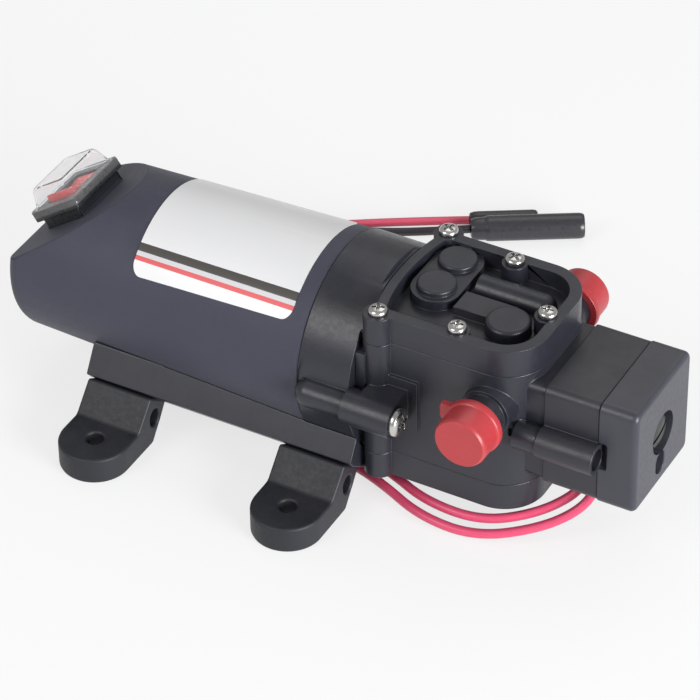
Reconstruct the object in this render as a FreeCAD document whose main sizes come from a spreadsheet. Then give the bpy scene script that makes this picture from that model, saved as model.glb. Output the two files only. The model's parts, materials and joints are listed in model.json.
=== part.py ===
import FreeCAD
import Part
import math
import os
import re
import Sketcher

# Small 12 volt diaphragm pump for a caravan's water system, in millimetres.
# +X runs along the motor's axis from the motor to the pressure switch, +Z is up.
# The origin is the centre of the four foot holes on the plane that the feet stand on.

SIZE_LIST = [
    ("foot_spacing_x", 55.0, "between foot holes along the motor"),
    ("foot_spacing_y", 77.0, "between foot holes across the motor"),
    ("axis_z", 33.5, "height of the motor's axis"),
    ("gap", 0.1, "clearance of parts that slip together"),
    ("fit", 0.05, "radial clearance of a running fit"),
    ("sink", 0.5, "how far joined shapes reach into each other"),
    ("sleeve_rear", -62.3, "rear end of the rubber sleeve"),
    ("sleeve_seam", 23.5, "seam between sleeve and collar"),
    ("sleeve_rear_wall", 1.0, "rubber round the can's radius at the rear end"),
    ("sleeve_front_wall", 3.6, "rubber round the can's radius at the seam"),
    ("sleeve_wall", 2.0, "wall of the sleeve under its slanted flat"),
    ("sleeve_floor", 4.0, "wall of the sleeve's rear end"),
    ("sleeve_round", 4.5, "rounding of the sleeve's rear rim"),
    ("bevel_x", -53.2, "middle of the seat for the rocker switch"),
    ("bevel_up", 14.7, "height of that middle above the axis"),
    ("flat_low", 2.6, "how far the sleeve's slanted flat lies below that seat"),
    ("seat_in", 1.4, "how far the seat stays inside the switch's frame"),
    ("bevel_angle", 35.0, "slope of flat and seat, in degrees"),
    ("collar_wall", 3.8, "wall of the drive collar round the can"),
    ("collar_front", 37.5, "front face of the drive collar"),
    ("can_rad", 22.0, "radius of the motor can"),
    ("can_rear", -34.4, "rear rim of the can"),
    ("can_front", 30.0, "front face of the can"),
    ("can_wall", 1.5, "wall of the can"),
    ("nose_rad", 5.6, "radius of the can's bearing nose"),
    ("nose_len", 3.0, "length of the nose"),
    ("shaft_rad", 1.6, "radius of the motor shaft"),
    ("bearing_rad", 4.0, "outer radius of the shaft's ball bearings"),
    ("bearing_len", 4.0, "width of the shaft's ball bearings"),
    ("magnet_gap", 0.1, "gap between magnets and can"),
    ("magnet_wall", 3.4, "thickness of the magnets"),
    ("magnet_over", 6.0, "how far the magnets pass each end of the laminations"),
    ("air_gap", 0.8, "gap between magnets and laminations"),
    ("winding_step", 2.7, "how much smaller than the laminations the winding heads are"),
    ("winding_len", 5.5, "length of each winding head"),
    ("winding_room", 7.0, "space between the front winding head and the can"),
    ("commutator_rad", 5.0, "radius of the commutator"),
    ("commutator_len", 6.0, "length of the commutator"),
    ("bell_len", 3.0, "thickness of the brush bell"),
    ("brush_len", 6.0, "length of a carbon brush"),
    ("brush_wide", 4.0, "width of a brush"),
    ("brush_tall", 5.0, "height of a brush"),
    ("holder_wall", 0.6, "wall of the brass brush holders"),
    ("rail_rear", -37.4, "rear end of the base bracket"),
    ("rail_front", 38.0, "front end of the base bracket"),
    ("rail_top_in", 4.0, "how far the rails' top edge lies inside the sleeve's radius"),
    ("rail_top_low", 11.5, "how far the rails' top edge lies below the axis"),
    ("rail_edge_out", 0.3, "how far the rails' lower edge lies outside that radius"),
    ("rail_edge_low", 18.6, "how far the rails' lower edge lies below the axis"),
    ("rail_lip_in", 1.7, "how far the start of the rail's underside lies inside that edge"),
    ("rail_lip_low", 20.6, "how far the start of the rail's underside lies below the axis"),
    ("web_half", 13.0, "half width of the bracket's flat underside"),
    ("web_wall", 3.4, "thickness of the bracket under the sleeve"),
    ("foot_wide", 18.4, "width of a rubber foot along the motor"),
    ("foot_pad", 7.2, "thickness of the foot's pad"),
    ("foot_pad_rad", 9.2, "radius of the pad's round end"),
    ("foot_hole_rad", 2.2, "radius of the screw hole in the pad"),
    ("foot_step_y", 32.6, "where the upright meets the pad"),
    ("foot_in_y", 19.3, "inner side of the foot under the rail"),
    ("foot_heel_y", 26.3, "inner side of the foot on the floor"),
    ("foot_core_y", 24.8, "place of the hole through the upright"),
    ("foot_core_wide", 4.0, "width of that hole"),
    ("foot_core_tall", 4.8, "height of that hole"),
    ("foot_lap", 0.3, "how far the foot's rubber stands out from the rail's edge"),
    ("foot_lap_low", 0.7, "how far below the rail's edge it does so"),
    ("head_rear", 38.0, "rear middle of the pump head"),
    ("head_corner", 40.9, "rear corners of the head"),
    ("head_front", 81.7, "front of the head"),
    ("head_half", 18.6, "half width of the head"),
    ("head_round", 11.0, "radius of the head's front corners"),
    ("mid_half", 16.6, "half height of the middle housing"),
    ("cover_tall", 7.5, "height of each end cover"),
    ("post_rad", 3.7, "radius of the corner posts and screw bosses"),
    ("screw_ab_x", 41.8, "rear cover screws along the head"),
    ("screw_ab_y", 18.0, "rear cover screws across the head"),
    ("screw_ce_x", 61.3, "middle cover screws along the head"),
    ("screw_ce_y", 15.0, "middle cover screws across the head"),
    ("screw_d_x", 77.6, "front cover screw"),
    ("screw_rad", 1.2, "radius of the cover screws' shanks"),
    ("screw_len", 16.0, "length of the cover screws' shanks"),
    ("screw_head_rad", 2.4, "radius of their pan heads"),
    ("screw_head_tall", 1.7, "height of their pan heads"),
    ("dish_deep", 4.8, "depth of the hollow in each cover"),
    ("dish_rim", 3.0, "width of the rim round the hollow"),
    ("dish_rim_rear", 2.5, "width of the rim at the bulged rear"),
    ("gallery_deep", 1.2, "depth of the valve rooms and ways under a cover"),
    ("boss_rad", 3.2, "radius of the screw bosses in the hollow"),
    ("boss_low", 0.2, "how far they stay below the rim"),
    ("pill_x", 48.0, "place of the pill-shaped pad in the hollow"),
    ("pill_pitch", 11.0, "distance between its two round ends"),
    ("pill_rad", 6.4, "radius of those ends"),
    ("pill_low", 2.1, "how far the pad stays below the rim"),
    ("button_rad", 4.9, "radius of the round buttons on it"),
    ("button_low", 0.6, "how far the buttons stay below the rim"),
    ("third_x", 69.5, "place of the single round pad along the head"),
    ("third_y", -4.5, "its place across the head"),
    ("third_rad", 5.6, "its radius"),
    ("third_low", 1.2, "how far it stays below the rim"),
    ("arm_x", 55.0, "rear end of the flat arm beside it"),
    ("arm_y", -5.0, "near side of the arm"),
    ("arm_long", 14.0, "length of the arm"),
    ("arm_wide", 7.0, "width of the arm"),
    ("arm_low", 2.3, "how far it stays below the rim"),
    ("ridge_x", 56.0, "rear end of the round ridge"),
    ("ridge_y", 7.2, "its place across the head"),
    ("ridge_long", 17.0, "its length up to the rounded end"),
    ("ridge_rad", 3.4, "its radius"),
    ("ridge_up", 0.5, "height of its middle above the hollow's floor"),
    ("pump_x", 54.0, "place of the two diaphragms"),
    ("seat_ledge", 3.8, "width of the diaphragm's seat"),
    ("seat_deep", 6.0, "depth of that seat"),
    ("rubber_wall", 1.2, "thickness of a diaphragm"),
    ("drive_gap", 0.8, "room round the yoke at its full throw"),
    ("shaft_way_rad", 3.0, "radius of the way for the shaft"),
    ("chamber_rad", 10.8, "radius of the pumping chamber"),
    ("chamber_deep", 3.7, "depth of the pumping chamber"),
    ("valve_off", 4.6, "distance of a valve from the chamber's middle"),
    ("valve_rad", 3.4, "radius of an umbrella valve"),
    ("valve_wall", 0.7, "thickness of an umbrella valve"),
    ("stem_rad", 0.9, "radius of a valve's stem"),
    ("flow_rad", 0.7, "radius of the flow holes beside a stem"),
    ("throw", 1.25, "offset of the drive eccentric"),
    ("cam_wall", 0.6, "thinnest wall of the eccentric"),
    ("cam_len", 6.0, "length of the eccentric"),
    ("ring_wall", 3.0, "thickness of the yoke's bearing"),
    ("ring_len", 5.0, "width of that bearing"),
    ("yoke_wall", 1.6, "wall of the yoke round its bearing"),
    ("yoke_stem_rad", 2.8, "radius of the yoke's two stems"),
    ("piston_rad", 7.4, "radius of the yoke's pistons"),
    ("piston_tall", 1.6, "height of a piston below the diaphragm"),
    ("clamp_tall", 0.8, "height of the clamp disc on a diaphragm"),
    ("clamp_screw_rad", 1.0, "radius of the clamp screw"),
    ("clamp_head_rad", 2.0, "radius of its head"),
    ("clamp_head_tall", 0.6, "height of its head"),
    ("port_x", 71.6, "place of the ports along the head"),
    ("port_up", 6.6, "height of the ports above the axis"),
    ("port_rad", 5.4, "outer radius of a port"),
    ("port_bore", 3.5, "bore of a port"),
    ("port_end_y", 31.0, "end of a port from the middle"),
    ("port_deep_y", 5.0, "inner end of the port's bore"),
    ("duct_y", 9.0, "place of the ducts to the covers"),
    ("duct_rad", 2.0, "radius of those ducts"),
    ("port_ring_rad", 6.4, "radius of the ring at a port's root"),
    ("port_ring_end", 20.8, "end of that ring from the middle"),
    ("cap_wall", 1.3, "wall of a red dust cap"),
    ("cap_lip", 0.5, "how far its flange stands out"),
    ("cap_flange", 2.0, "thickness of its flange"),
    ("cap_grip", 5.8, "how far it covers the port"),
    ("cap_roof", 2.6, "thickness of its closed end"),
    ("cap_tab", 3.6, "length of its pull tab"),
    ("cap_tab_tall", 4.4, "width of that tab"),
    ("neck_front", 84.3, "front face of the head's neck"),
    ("neck_half", 14.3, "half width of the neck"),
    ("neck_tall", 14.2, "half height of the neck"),
    ("switch_body_len", 14.4, "length of the pressure switch's body"),
    ("switch_cap_len", 9.95, "length of the pressure switch's cap"),
    ("switch_half", 14.8, "half width of the switch body"),
    ("switch_tall", 14.7, "half height of the switch body"),
    ("cap_half", 15.0, "half width of the switch cap"),
    ("cap_tall", 14.9, "half height of the switch cap"),
    ("switch_round", 2.4, "rounding along the switch's edges"),
    ("switch_front_round", 1.5, "rounding round the switch's front face"),
    ("tube_y", 16.5, "place of the switch's screw tubes"),
    ("tube_rad", 4.0, "radius of the screw tubes"),
    ("tube_past", 0.7, "how far the screw tubes pass the switch's seam"),
    ("tube_floor", 4.2, "thickness under the screw heads in the tubes"),
    ("switch_screw_groove", 2.2, "length of the grooves in the cap's sides"),
    ("ear_rad", 3.5, "radius of the neck's screw ears"),
    ("ear_rear", 78.2, "rear face of those ears"),
    ("recess_rad", 5.6, "radius of the recess in the switch's face"),
    ("recess_deep", 3.0, "depth of that recess"),
    ("face_slot_rad", 2.3, "radius of the ends of the slot below the recess"),
    ("face_slot_tall", 1.7, "distance between those ends"),
    ("face_slot_deep", 3.0, "depth of that slot"),
    ("face_slot_off", 0.8, "how far it lies to the near side"),
    ("face_slot_low", 7.7, "how far its upper end lies below the axis"),
    ("sensor_way_rad", 1.5, "radius of the pressure way to the switch"),
    ("screw_grip", 7.0, "how far the switch's screws reach into the neck"),
    ("sensor_rad", 8.0, "radius of the switch's diaphragm"),
    ("sensor_wall", 1.0, "thickness of the switch's diaphragm"),
    ("plunger_rad", 3.0, "radius of the switch's plunger"),
    ("plunger_len", 7.0, "length of the switch's plunger"),
    ("plunger_flange", 5.5, "radius of the plunger's foot"),
    ("plunger_foot", 2.0, "thickness of the plunger's foot"),
    ("plunger_travel", 1.0, "travel of the plunger"),
    ("spring_rad", 2.0, "radius of the switch's spring"),
    ("spring_wire", 0.5, "thickness of the spring's wire"),
    ("adjust_rad", 2.4, "radius of the adjusting screw"),
    ("adjust_head", 4.6, "radius of the adjusting screw's head"),
    ("adjust_tall", 2.4, "height of its head"),
    ("adjust_len", 4.5, "length of its shank"),
    ("adjust_slit", 1.0, "width of its slit"),
    ("spring_turns", 9, "turns of the switch's spring"),
    ("contact_off", 7.0, "distance of the contact set from the neck"),
    ("contact_side", 8.7, "near side of the contact set from the middle"),
    ("contact_up", 3.4, "its height above the switch's underside"),
    ("contact_back", 0.4, "its distance from the switch's seam"),
    ("contact_wide", 7.4, "its width"),
    ("contact_tall", 4.0, "its height"),
    ("bolt_y", 26.0, "place of the motor bolts"),
    ("bolt_rad", 2.0, "radius of the motor bolts"),
    ("bolt_head_rad", 3.7, "radius of their heads"),
    ("bolt_head_tall", 2.2, "height of their heads"),
    ("lug_rad", 3.7, "radius of the collar's bolt lugs"),
    ("bolt_ear_rad", 4.6, "radius of the head's bolt ears"),
    ("bolt_ear_front", 50.5, "front of the bolt ears"),
    ("plate_long", 2.5, "thickness of the upright plates behind the rear posts"),
    ("plate_y", 22.0, "outer edge of those plates"),
    ("plate_low", 2.2, "height of their foot above the axis"),
    ("plate_tall", 11.0, "height of those plates"),
    ("bolt_pad_front", 53.0, "front of the raised pads at their roots"),
    ("bolt_pad_up", 7.4, "height of those pads above the axis"),
    ("bolt_pad_out", 0.9, "how far they stand out"),
    ("bezel_long", 20.4, "length of the rocker switch's frame"),
    ("bezel_wide", 15.8, "width of the rocker switch's frame"),
    ("bezel_thick", 2.8, "thickness of its rim"),
    ("rocker_deep", 11.0, "depth of its housing"),
    ("rocker_body_long", 18.4, "length of its housing"),
    ("rocker_body_wide", 12.6, "width of its housing"),
    ("window_long", 14.4, "length of its window"),
    ("window_wide", 9.8, "width of its window"),
    ("window_deep", 6.5, "depth of its window"),
    ("rocker_tilt", 10.0, "tilt of the rocker to each side"),
    ("rocker_gap", 0.8, "room at each end of the rocker"),
    ("rocker_side", 0.3, "room at each side of the rocker"),
    ("rocker_tall", 3.6, "height of the rocker's ends"),
    ("rocker_dip", 2.0, "height of the rocker's middle"),
    ("pin_rad", 0.8, "radius of the rocker's pins"),
    ("boot_tall", 5.2, "height of the clear boot"),
    ("boot_wall", 0.8, "wall of the clear boot"),
    ("boot_draw", 4.4, "how much smaller the boot's crown is on each side"),
    ("blade_len", 5.5, "length of the rocker switch's blades"),
    ("blade_thick", 0.8, "thickness of the blades"),
    ("blade_wide", 4.2, "width of the blades"),
    ("blade_off", 4.2, "place of the blades from the middle"),
    ("label_rear", -26.0, "rear edge of the label"),
    ("label_front", 19.0, "front edge of the label"),
    ("label_thick", 0.15, "thickness of the label"),
    ("glue", 0.02, "thickness of the glue under the label"),
    ("label_low", 34.5, "lower edge of the label, degrees above level"),
    ("label_high", 128.0, "far edge of the label, degrees above level"),
    ("wire_rad", 1.2, "radius of the switch wires"),
    ("lead_rad", 1.15, "radius of the supply wires"),
    ("wire_exit_x", -43.6, "place where the switch wires leave the sleeve"),
    ("wire_exit_y", 4.0, "their place to the far side"),
    ("lead_exit_x", -53.2, "place where the supply wires leave the sleeve"),
    ("lead_exit_y", 6.5, "their place to the far side"),
    ("grommet_rad", 4.4, "radius of the lip of the wires' grommets"),
    ("grommet_step", 1.0, "how far the lip stands out"),
    ("grommet_tall", 5.6, "height of a grommet below its lip"),
    ("grommet_lip", 1.2, "thickness of the lip"),
    ("plug_rad", 3.5, "radius of the connector's long barrel"),
    ("plug_short_rad", 2.4, "radius of its short barrel"),
    ("plug_pitch", 5.4, "distance between the barrels"),
    ("plug_long", 30.5, "length of the long barrel"),
    ("plug_short", 18.4, "length of the short barrel"),
    ("plug_x", 12.35, "rear end of the connector"),
    ("plug_y", 87.1, "its place behind the pump"),
    ("plug_turn", 30.8, "turn of the connector about Z, in degrees"),
    ("plug_web", 2.4, "thickness of the web between the barrels"),
    ("plug_bore", 1.7, "radius of the socket in the long barrel"),
    ("plug_bore_deep", 8.0, "depth of that socket"),
]

# Sizes that follow from the others
DERIVED = [
    ("sleeve_rad", "can_rad + sleeve_front_wall", "radius of the sleeve at the seam"),
    ("rail_top_y", "sleeve_rad - rail_top_in", "half width at the rails' top edge"),
    ("rail_edge_y", "sleeve_rad + rail_edge_out", "half width at the rails' lower edge"),
    ("rail_lip_y", "rail_edge_y - rail_lip_in", "half width where the underside starts"),
    ("bulge_rad", "(head_half^2 + (head_corner - head_rear)^2) / (2 * (head_corner - head_rear))",
     "radius of the head's curved rear"),
    ("bulge_x", "head_rear + bulge_rad", "middle of that curve"),
    ("switch_seam", "neck_front + switch_body_len", "seam of the pressure switch"),
    ("switch_front", "switch_seam + switch_cap_len", "front face of the pressure switch"),
    ("contact_long", "switch_body_len - contact_off - contact_back", "length of the contact set"),
    ("tube_front", "switch_seam + tube_past", "front end of the screw tubes"),
    ("tube_seat", "neck_front + tube_floor", "seat of the screw heads in the tubes"),
]

doc = FreeCAD.newDocument("diaphragm_pump")
sheet = doc.addObject("Spreadsheet::Sheet", "Sizes")
ROWS = [(word, str(number), meaning) for word, number, meaning in SIZE_LIST]
ROWS += [(word, "=" + text, meaning) for word, text, meaning in DERIVED]
for row, (word, entry, meaning) in enumerate(ROWS, start=1):
    sheet.set("A%d" % row, word)
    sheet.set("B%d" % row, entry)
    sheet.set("C%d" % row, meaning)
    sheet.setAlias("B%d" % row, word)
doc.recompute()
S = {word: float(sheet.get(word)) for word, _, _ in ROWS}

SLEEVE_REAR = "(can_rad + sleeve_rear_wall)"
SLEEVE_FRONT = "(can_rad + sleeve_front_wall)"
COLLAR = "(can_rad + collar_wall)"
BEVEL_Z = "(axis_z + bevel_up)"
COMMUTATOR_REAR = "(can_rear + bell_len + gap)"
STACK_REAR = "(can_rear + bell_len + commutator_len + winding_len + 3 * gap)"
STACK_FRONT = "(can_front - can_wall - winding_room - winding_len)"
MAGNET_INNER = "(can_rad - can_wall - magnet_gap - magnet_wall)"
STACK_RAD = "(can_rad - can_wall - magnet_gap - magnet_wall - air_gap)"
CAM_RAD = "(shaft_rad + throw + cam_wall)"
RING_RAD = "(shaft_rad + throw + cam_wall + fit + ring_wall)"
HUB_RAD = "(shaft_rad + throw + cam_wall + ring_wall + yoke_wall + 2 * fit)"
DRIVE_RAD = "(shaft_rad + 2 * throw + cam_wall + ring_wall + yoke_wall + drive_gap + 2 * fit)"
SEAT_RAD = "(shaft_rad + 2 * throw + cam_wall + ring_wall + yoke_wall + drive_gap + 2 * fit + seat_ledge)"
CAP_START = "(port_end_y - cap_grip)"
CAP_RAD = "(port_rad + gap + cap_wall)"
RAIL_HALF = [
    ("rail_top_y", "axis_z - rail_top_low"),
    ("rail_edge_y", "axis_z - rail_edge_low"),
    ("rail_lip_y", "axis_z - rail_lip_low"),
    ("web_half", "axis_z - " + SLEEVE_FRONT + " - web_wall"),
]

VEC = FreeCAD.Vector
TURNS = {
    "X": FreeCAD.Rotation(VEC(0, 1, 0), 90),
    "Y": FreeCAD.Rotation(VEC(1, 0, 0), -90),
    "Z": FreeCAD.Rotation(),
}
NODES = []


def formula(text):
    """A formula with each size's name pointed at the sheet."""
    def point(found):
        word = found.group(0)
        return "Sizes." + word if word in S else word
    return re.sub(r"[a-z][a-z_]*", point, str(text))


def bind(obj, prop, text):
    obj.setExpression(prop, formula(text))


def place(obj, x=0, y=0, z=0, turn="Z"):
    obj.Placement = FreeCAD.Placement(VEC(), TURNS[turn])
    bind(obj, "Placement.Base.x", x)
    bind(obj, "Placement.Base.y", y)
    bind(obj, "Placement.Base.z", z)
    return obj


def rod(name, turn, radius, length, x=0, y=0, z=0):
    """A round bar along X, Y or Z whose first face is centred at x, y, z."""
    obj = doc.addObject("Part::Cylinder", name)
    bind(obj, "Radius", radius)
    bind(obj, "Height", length)
    return place(obj, x, y, z, turn)


def cone(name, turn, radius_a, radius_b, length, x=0, y=0, z=0):
    obj = doc.addObject("Part::Cone", name)
    bind(obj, "Radius1", radius_a)
    bind(obj, "Radius2", radius_b)
    bind(obj, "Height", length)
    return place(obj, x, y, z, turn)


def ball(name, radius, x, y, z):
    obj = doc.addObject("Part::Sphere", name)
    bind(obj, "Radius", radius)
    return place(obj, x, y, z)


def block(name, long, wide, tall, x=0, y=0, z=0):
    """A box whose lowest corner is at x, y, z."""
    obj = doc.addObject("Part::Box", name)
    bind(obj, "Length", long)
    bind(obj, "Width", wide)
    bind(obj, "Height", tall)
    return place(obj, x, y, z)


def fuse(name, *pieces):
    obj = doc.addObject("Part::MultiFuse", name)
    obj.Shapes = list(pieces)
    return obj


def cut(name, base, *tools):
    """Takes each tool out of the base in turn."""
    for number, tool in enumerate(tools, start=1):
        last = number == len(tools)
        obj = doc.addObject("Part::Cut", name if last else "%s_step_%d" % (name, number))
        obj.Base = base
        obj.Tool = tool
        base = obj
    return base


def common(name, one, two):
    obj = doc.addObject("Part::Common", name)
    obj.Base = one
    obj.Tool = two
    return obj


def mirrored(name, source, normal, base_z="0"):
    obj = doc.addObject("Part::Mirroring", name)
    obj.Source = source
    obj.Normal = normal
    if base_z != "0":
        bind(obj, "Base.z", base_z)
    return obj


def group(name, *pieces):
    """Separate solids that share one node."""
    obj = doc.addObject("Part::Compound", name)
    obj.Links = list(pieces)
    return obj


def node(obj, label):
    """Marks a finished sub-part, whose label is its file's name."""
    obj.Label = label
    NODES.append(obj)
    return obj


def new_body(name):
    return doc.addObject("PartDesign::Body", name)


def origin_plane(body, role):
    return [f for f in body.Origin.OriginFeatures if f.Role == role][0]


def profile(body, name, role, points, level="0"):
    """A closed outline of straight lines, each corner bound to its own two formulas."""
    sketch = body.newObject("Sketcher::SketchObject", name)
    sketch.AttachmentSupport = [(origin_plane(body, role), "")]
    sketch.MapMode = "FlatFace"
    bind(sketch, "AttachmentOffset.Base.z", level)
    values = []
    for number, (across, up) in enumerate(points):
        pair = []
        for tag, text in (("u", across), ("v", up)):
            cell = "%s_%s%d" % (name, tag, number)
            sketch.addProperty("App::PropertyFloat", cell)
            sketch.setExpression(cell, formula(text))
            pair.append(cell)
        values.append(pair)
    doc.recompute([sheet, sketch])
    spots = [VEC(getattr(sketch, u), getattr(sketch, v), 0) for u, v in values]
    count = len(spots)
    for i in range(count):
        sketch.addGeometry(Part.LineSegment(spots[i], spots[(i + 1) % count]), False)
    for i in range(count):
        sketch.addConstraint(Sketcher.Constraint("Coincident", i, 2, (i + 1) % count, 1))
    for i, (u, v) in enumerate(values):
        for kind, cell, value in (("DistanceX", u, spots[i].x), ("DistanceY", v, spots[i].y)):
            index = sketch.addConstraint(Sketcher.Constraint(kind, -1, 1, i, 1, value))
            sketch.setExpression("Constraints[%d]" % index, cell)
    return sketch


def pad(body, name, sketch, length, reverse=False, both=False):
    obj = body.newObject("PartDesign::Pad", name)
    obj.Profile = sketch
    bind(obj, "Length", length)
    obj.Reversed = reverse
    obj.Midplane = both
    sketch.Visibility = False
    return obj


def pocket(body, name, sketch, length, reverse=False):
    doc.recompute()
    before = body.Shape.Volume
    obj = body.newObject("PartDesign::Pocket", name)
    obj.Profile = sketch
    bind(obj, "Length", length)
    obj.Reversed = reverse
    doc.recompute()
    if body.Shape.Volume > before - 0.01:
        raise RuntimeError(name + " cuts nothing")
    return obj


def soften(body, name, feature, radius, pick):
    """Rounds the edges of a feature that the test picks."""
    doc.recompute()
    edges = ["Edge%d" % i for i, e in enumerate(feature.Shape.Edges, start=1) if pick(e)]
    obj = body.newObject("PartDesign::Fillet", name)
    obj.Base = (feature, edges)
    bind(obj, "Radius", radius)
    doc.recompute()
    return obj


def upright(edge, x=None, y=None):
    """Whether an edge is straight up, at x or at either side's y if these are given."""
    a, b = edge.Vertexes[0].Point, edge.Vertexes[-1].Point
    if abs(a.x - b.x) > 0.001 or abs(a.y - b.y) > 0.001:
        return False
    if x is not None and abs(a.x - x) > 0.01:
        return False
    return y is None or abs(abs(a.y) - y) < 0.01


def lengthwise(edge):
    """Whether an edge runs along X."""
    a, b = edge.Vertexes[0].Point, edge.Vertexes[-1].Point
    return abs(a.y - b.y) < 0.001 and abs(a.z - b.z) < 0.001 and abs(a.x - b.x) > 0.1


# The motor under its rubber sleeve


def sleeve_cone(name, grow, start, end):
    """The sleeve's outside, grown by a clearance, between two places along X."""
    slope = "(sleeve_front_wall - sleeve_rear_wall) / (sleeve_seam - sleeve_rear)"
    at = SLEEVE_REAR + " + (%s - sleeve_rear) * %s + %s"
    return cone(name, "X", at % (start, slope, grow), at % (end, slope, grow),
                "(%s) - (%s)" % (end, start), start, 0, "axis_z")


def above_bevel(name, lower="0"):
    """The space above the sleeve's slanted flat."""
    reach = 60.0
    obj = doc.addObject("Part::Box", name)
    obj.Length = 2 * reach
    obj.Width = 2 * reach
    obj.Height = reach
    obj.Placement = FreeCAD.Placement(VEC(), FreeCAD.Rotation(VEC(0, 1, 0), -S["bevel_angle"]))
    bind(obj, "Placement.Rotation.Angle", "-bevel_angle")
    sine, cosine = "sin(bevel_angle * 1deg)", "cos(bevel_angle * 1deg)"
    bind(obj, "Placement.Base.x", "bevel_x - %s * %s + (%s) * %s" % (reach, cosine, lower, sine))
    bind(obj, "Placement.Base.y", str(-reach))
    bind(obj, "Placement.Base.z",
         "%s - %s * %s - (%s) * %s" % (BEVEL_Z, reach, sine, lower, cosine))
    return obj


def on_bevel(obj):
    """Moves a piece built round its own origin to the middle of the slanted flat."""
    obj.Placement = FreeCAD.Placement(VEC(), FreeCAD.Rotation(VEC(0, 1, 0), -S["bevel_angle"]))
    bind(obj, "Placement.Rotation.Angle", "-bevel_angle")
    bind(obj, "Placement.Base.x", "bevel_x")
    bind(obj, "Placement.Base.z", BEVEL_Z)
    return obj


def centred(name, long, wide, tall, z):
    """A box whose base is centred on the Z axis at z."""
    return block(name, long, wide, tall, "-(%s) / 2" % long, "-(%s) / 2" % wide, z)


def motor_sleeve():
    outside = sleeve_cone("sleeve_outside", "0", "sleeve_rear", "sleeve_seam")
    doc.recompute()
    rounded = doc.addObject("Part::Fillet", "sleeve_rounded")
    rounded.Base = outside
    rim = [i for i, e in enumerate(outside.Shape.Edges, start=1)
           if abs(e.BoundBox.XMin - S["sleeve_rear"]) < 0.01 and e.BoundBox.XLength < 0.01]
    rounded.Edges = [(i, S["sleeve_round"], S["sleeve_round"]) for i in rim]
    skin = cut("sleeve_skin", rounded, above_bevel("sleeve_above", "flat_low"))
    seat_box = centred("sleeve_seat_box", "bezel_wide - 2 * seat_in", "bezel_long - 2 * seat_in",
                       "flat_low + sink", "-(flat_low + sink)")
    seat = on_bevel(group("sleeve_seat", seat_box))
    bore = rod("sleeve_bore", "X", "can_rad + gap", "sleeve_seam - sleeve_rear",
               "sleeve_rear + sleeve_floor", 0, "axis_z")
    inside = cut("sleeve_inside", bore, above_bevel("sleeve_above_wall", "sleeve_wall + flat_low"))
    hole = centred("sleeve_window_box", "rocker_body_wide + 2 * gap", "rocker_body_long + 2 * gap",
                   "2 * sleeve_wall + flat_low + 2", "-(2 * sleeve_wall + flat_low)")
    window = on_bevel(group("sleeve_window", hole))
    holes = [rod("sleeve_hole_" + word, "Z", "grommet_rad - grommet_step + gap", "axis_z",
                 word + "_exit_x", word + "_exit_y", 0) for word in ("wire", "lead")]
    return node(cut("motor_sleeve", fuse("sleeve_solid", skin, seat), inside, window, *holes),
                "motor_sleeve")


def motor_can():
    tube = rod("can_tube", "X", "can_rad", "can_front - can_rear", "can_rear", 0, "axis_z")
    nose = rod("can_nose", "X", "nose_rad", "nose_len", "can_front", 0, "axis_z")
    hollow = rod("can_hollow", "X", "can_rad - can_wall", "can_front - can_wall - can_rear",
                 "can_rear", 0, "axis_z")
    seat = rod("can_seat", "X", "bearing_rad", "can_wall + nose_len", "can_front - can_wall", 0, "axis_z")
    return node(cut("motor_can", fuse("can_solid", tube, nose), hollow, seat), "motor_can")


def ring(name, turn, outer, inner, length, x, y, z):
    hole_x = "(%s) - 1" % x if turn == "X" else x
    hole_z = "(%s) - 1" % z if turn == "Z" else z
    hole_y = "(%s) - 1" % y if turn == "Y" else y
    return cut(name, rod(name + "_disc", turn, outer, length, x, y, z),
               rod(name + "_bore", turn, inner, "(%s) + 2" % length, hole_x, hole_y, hole_z))


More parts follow.
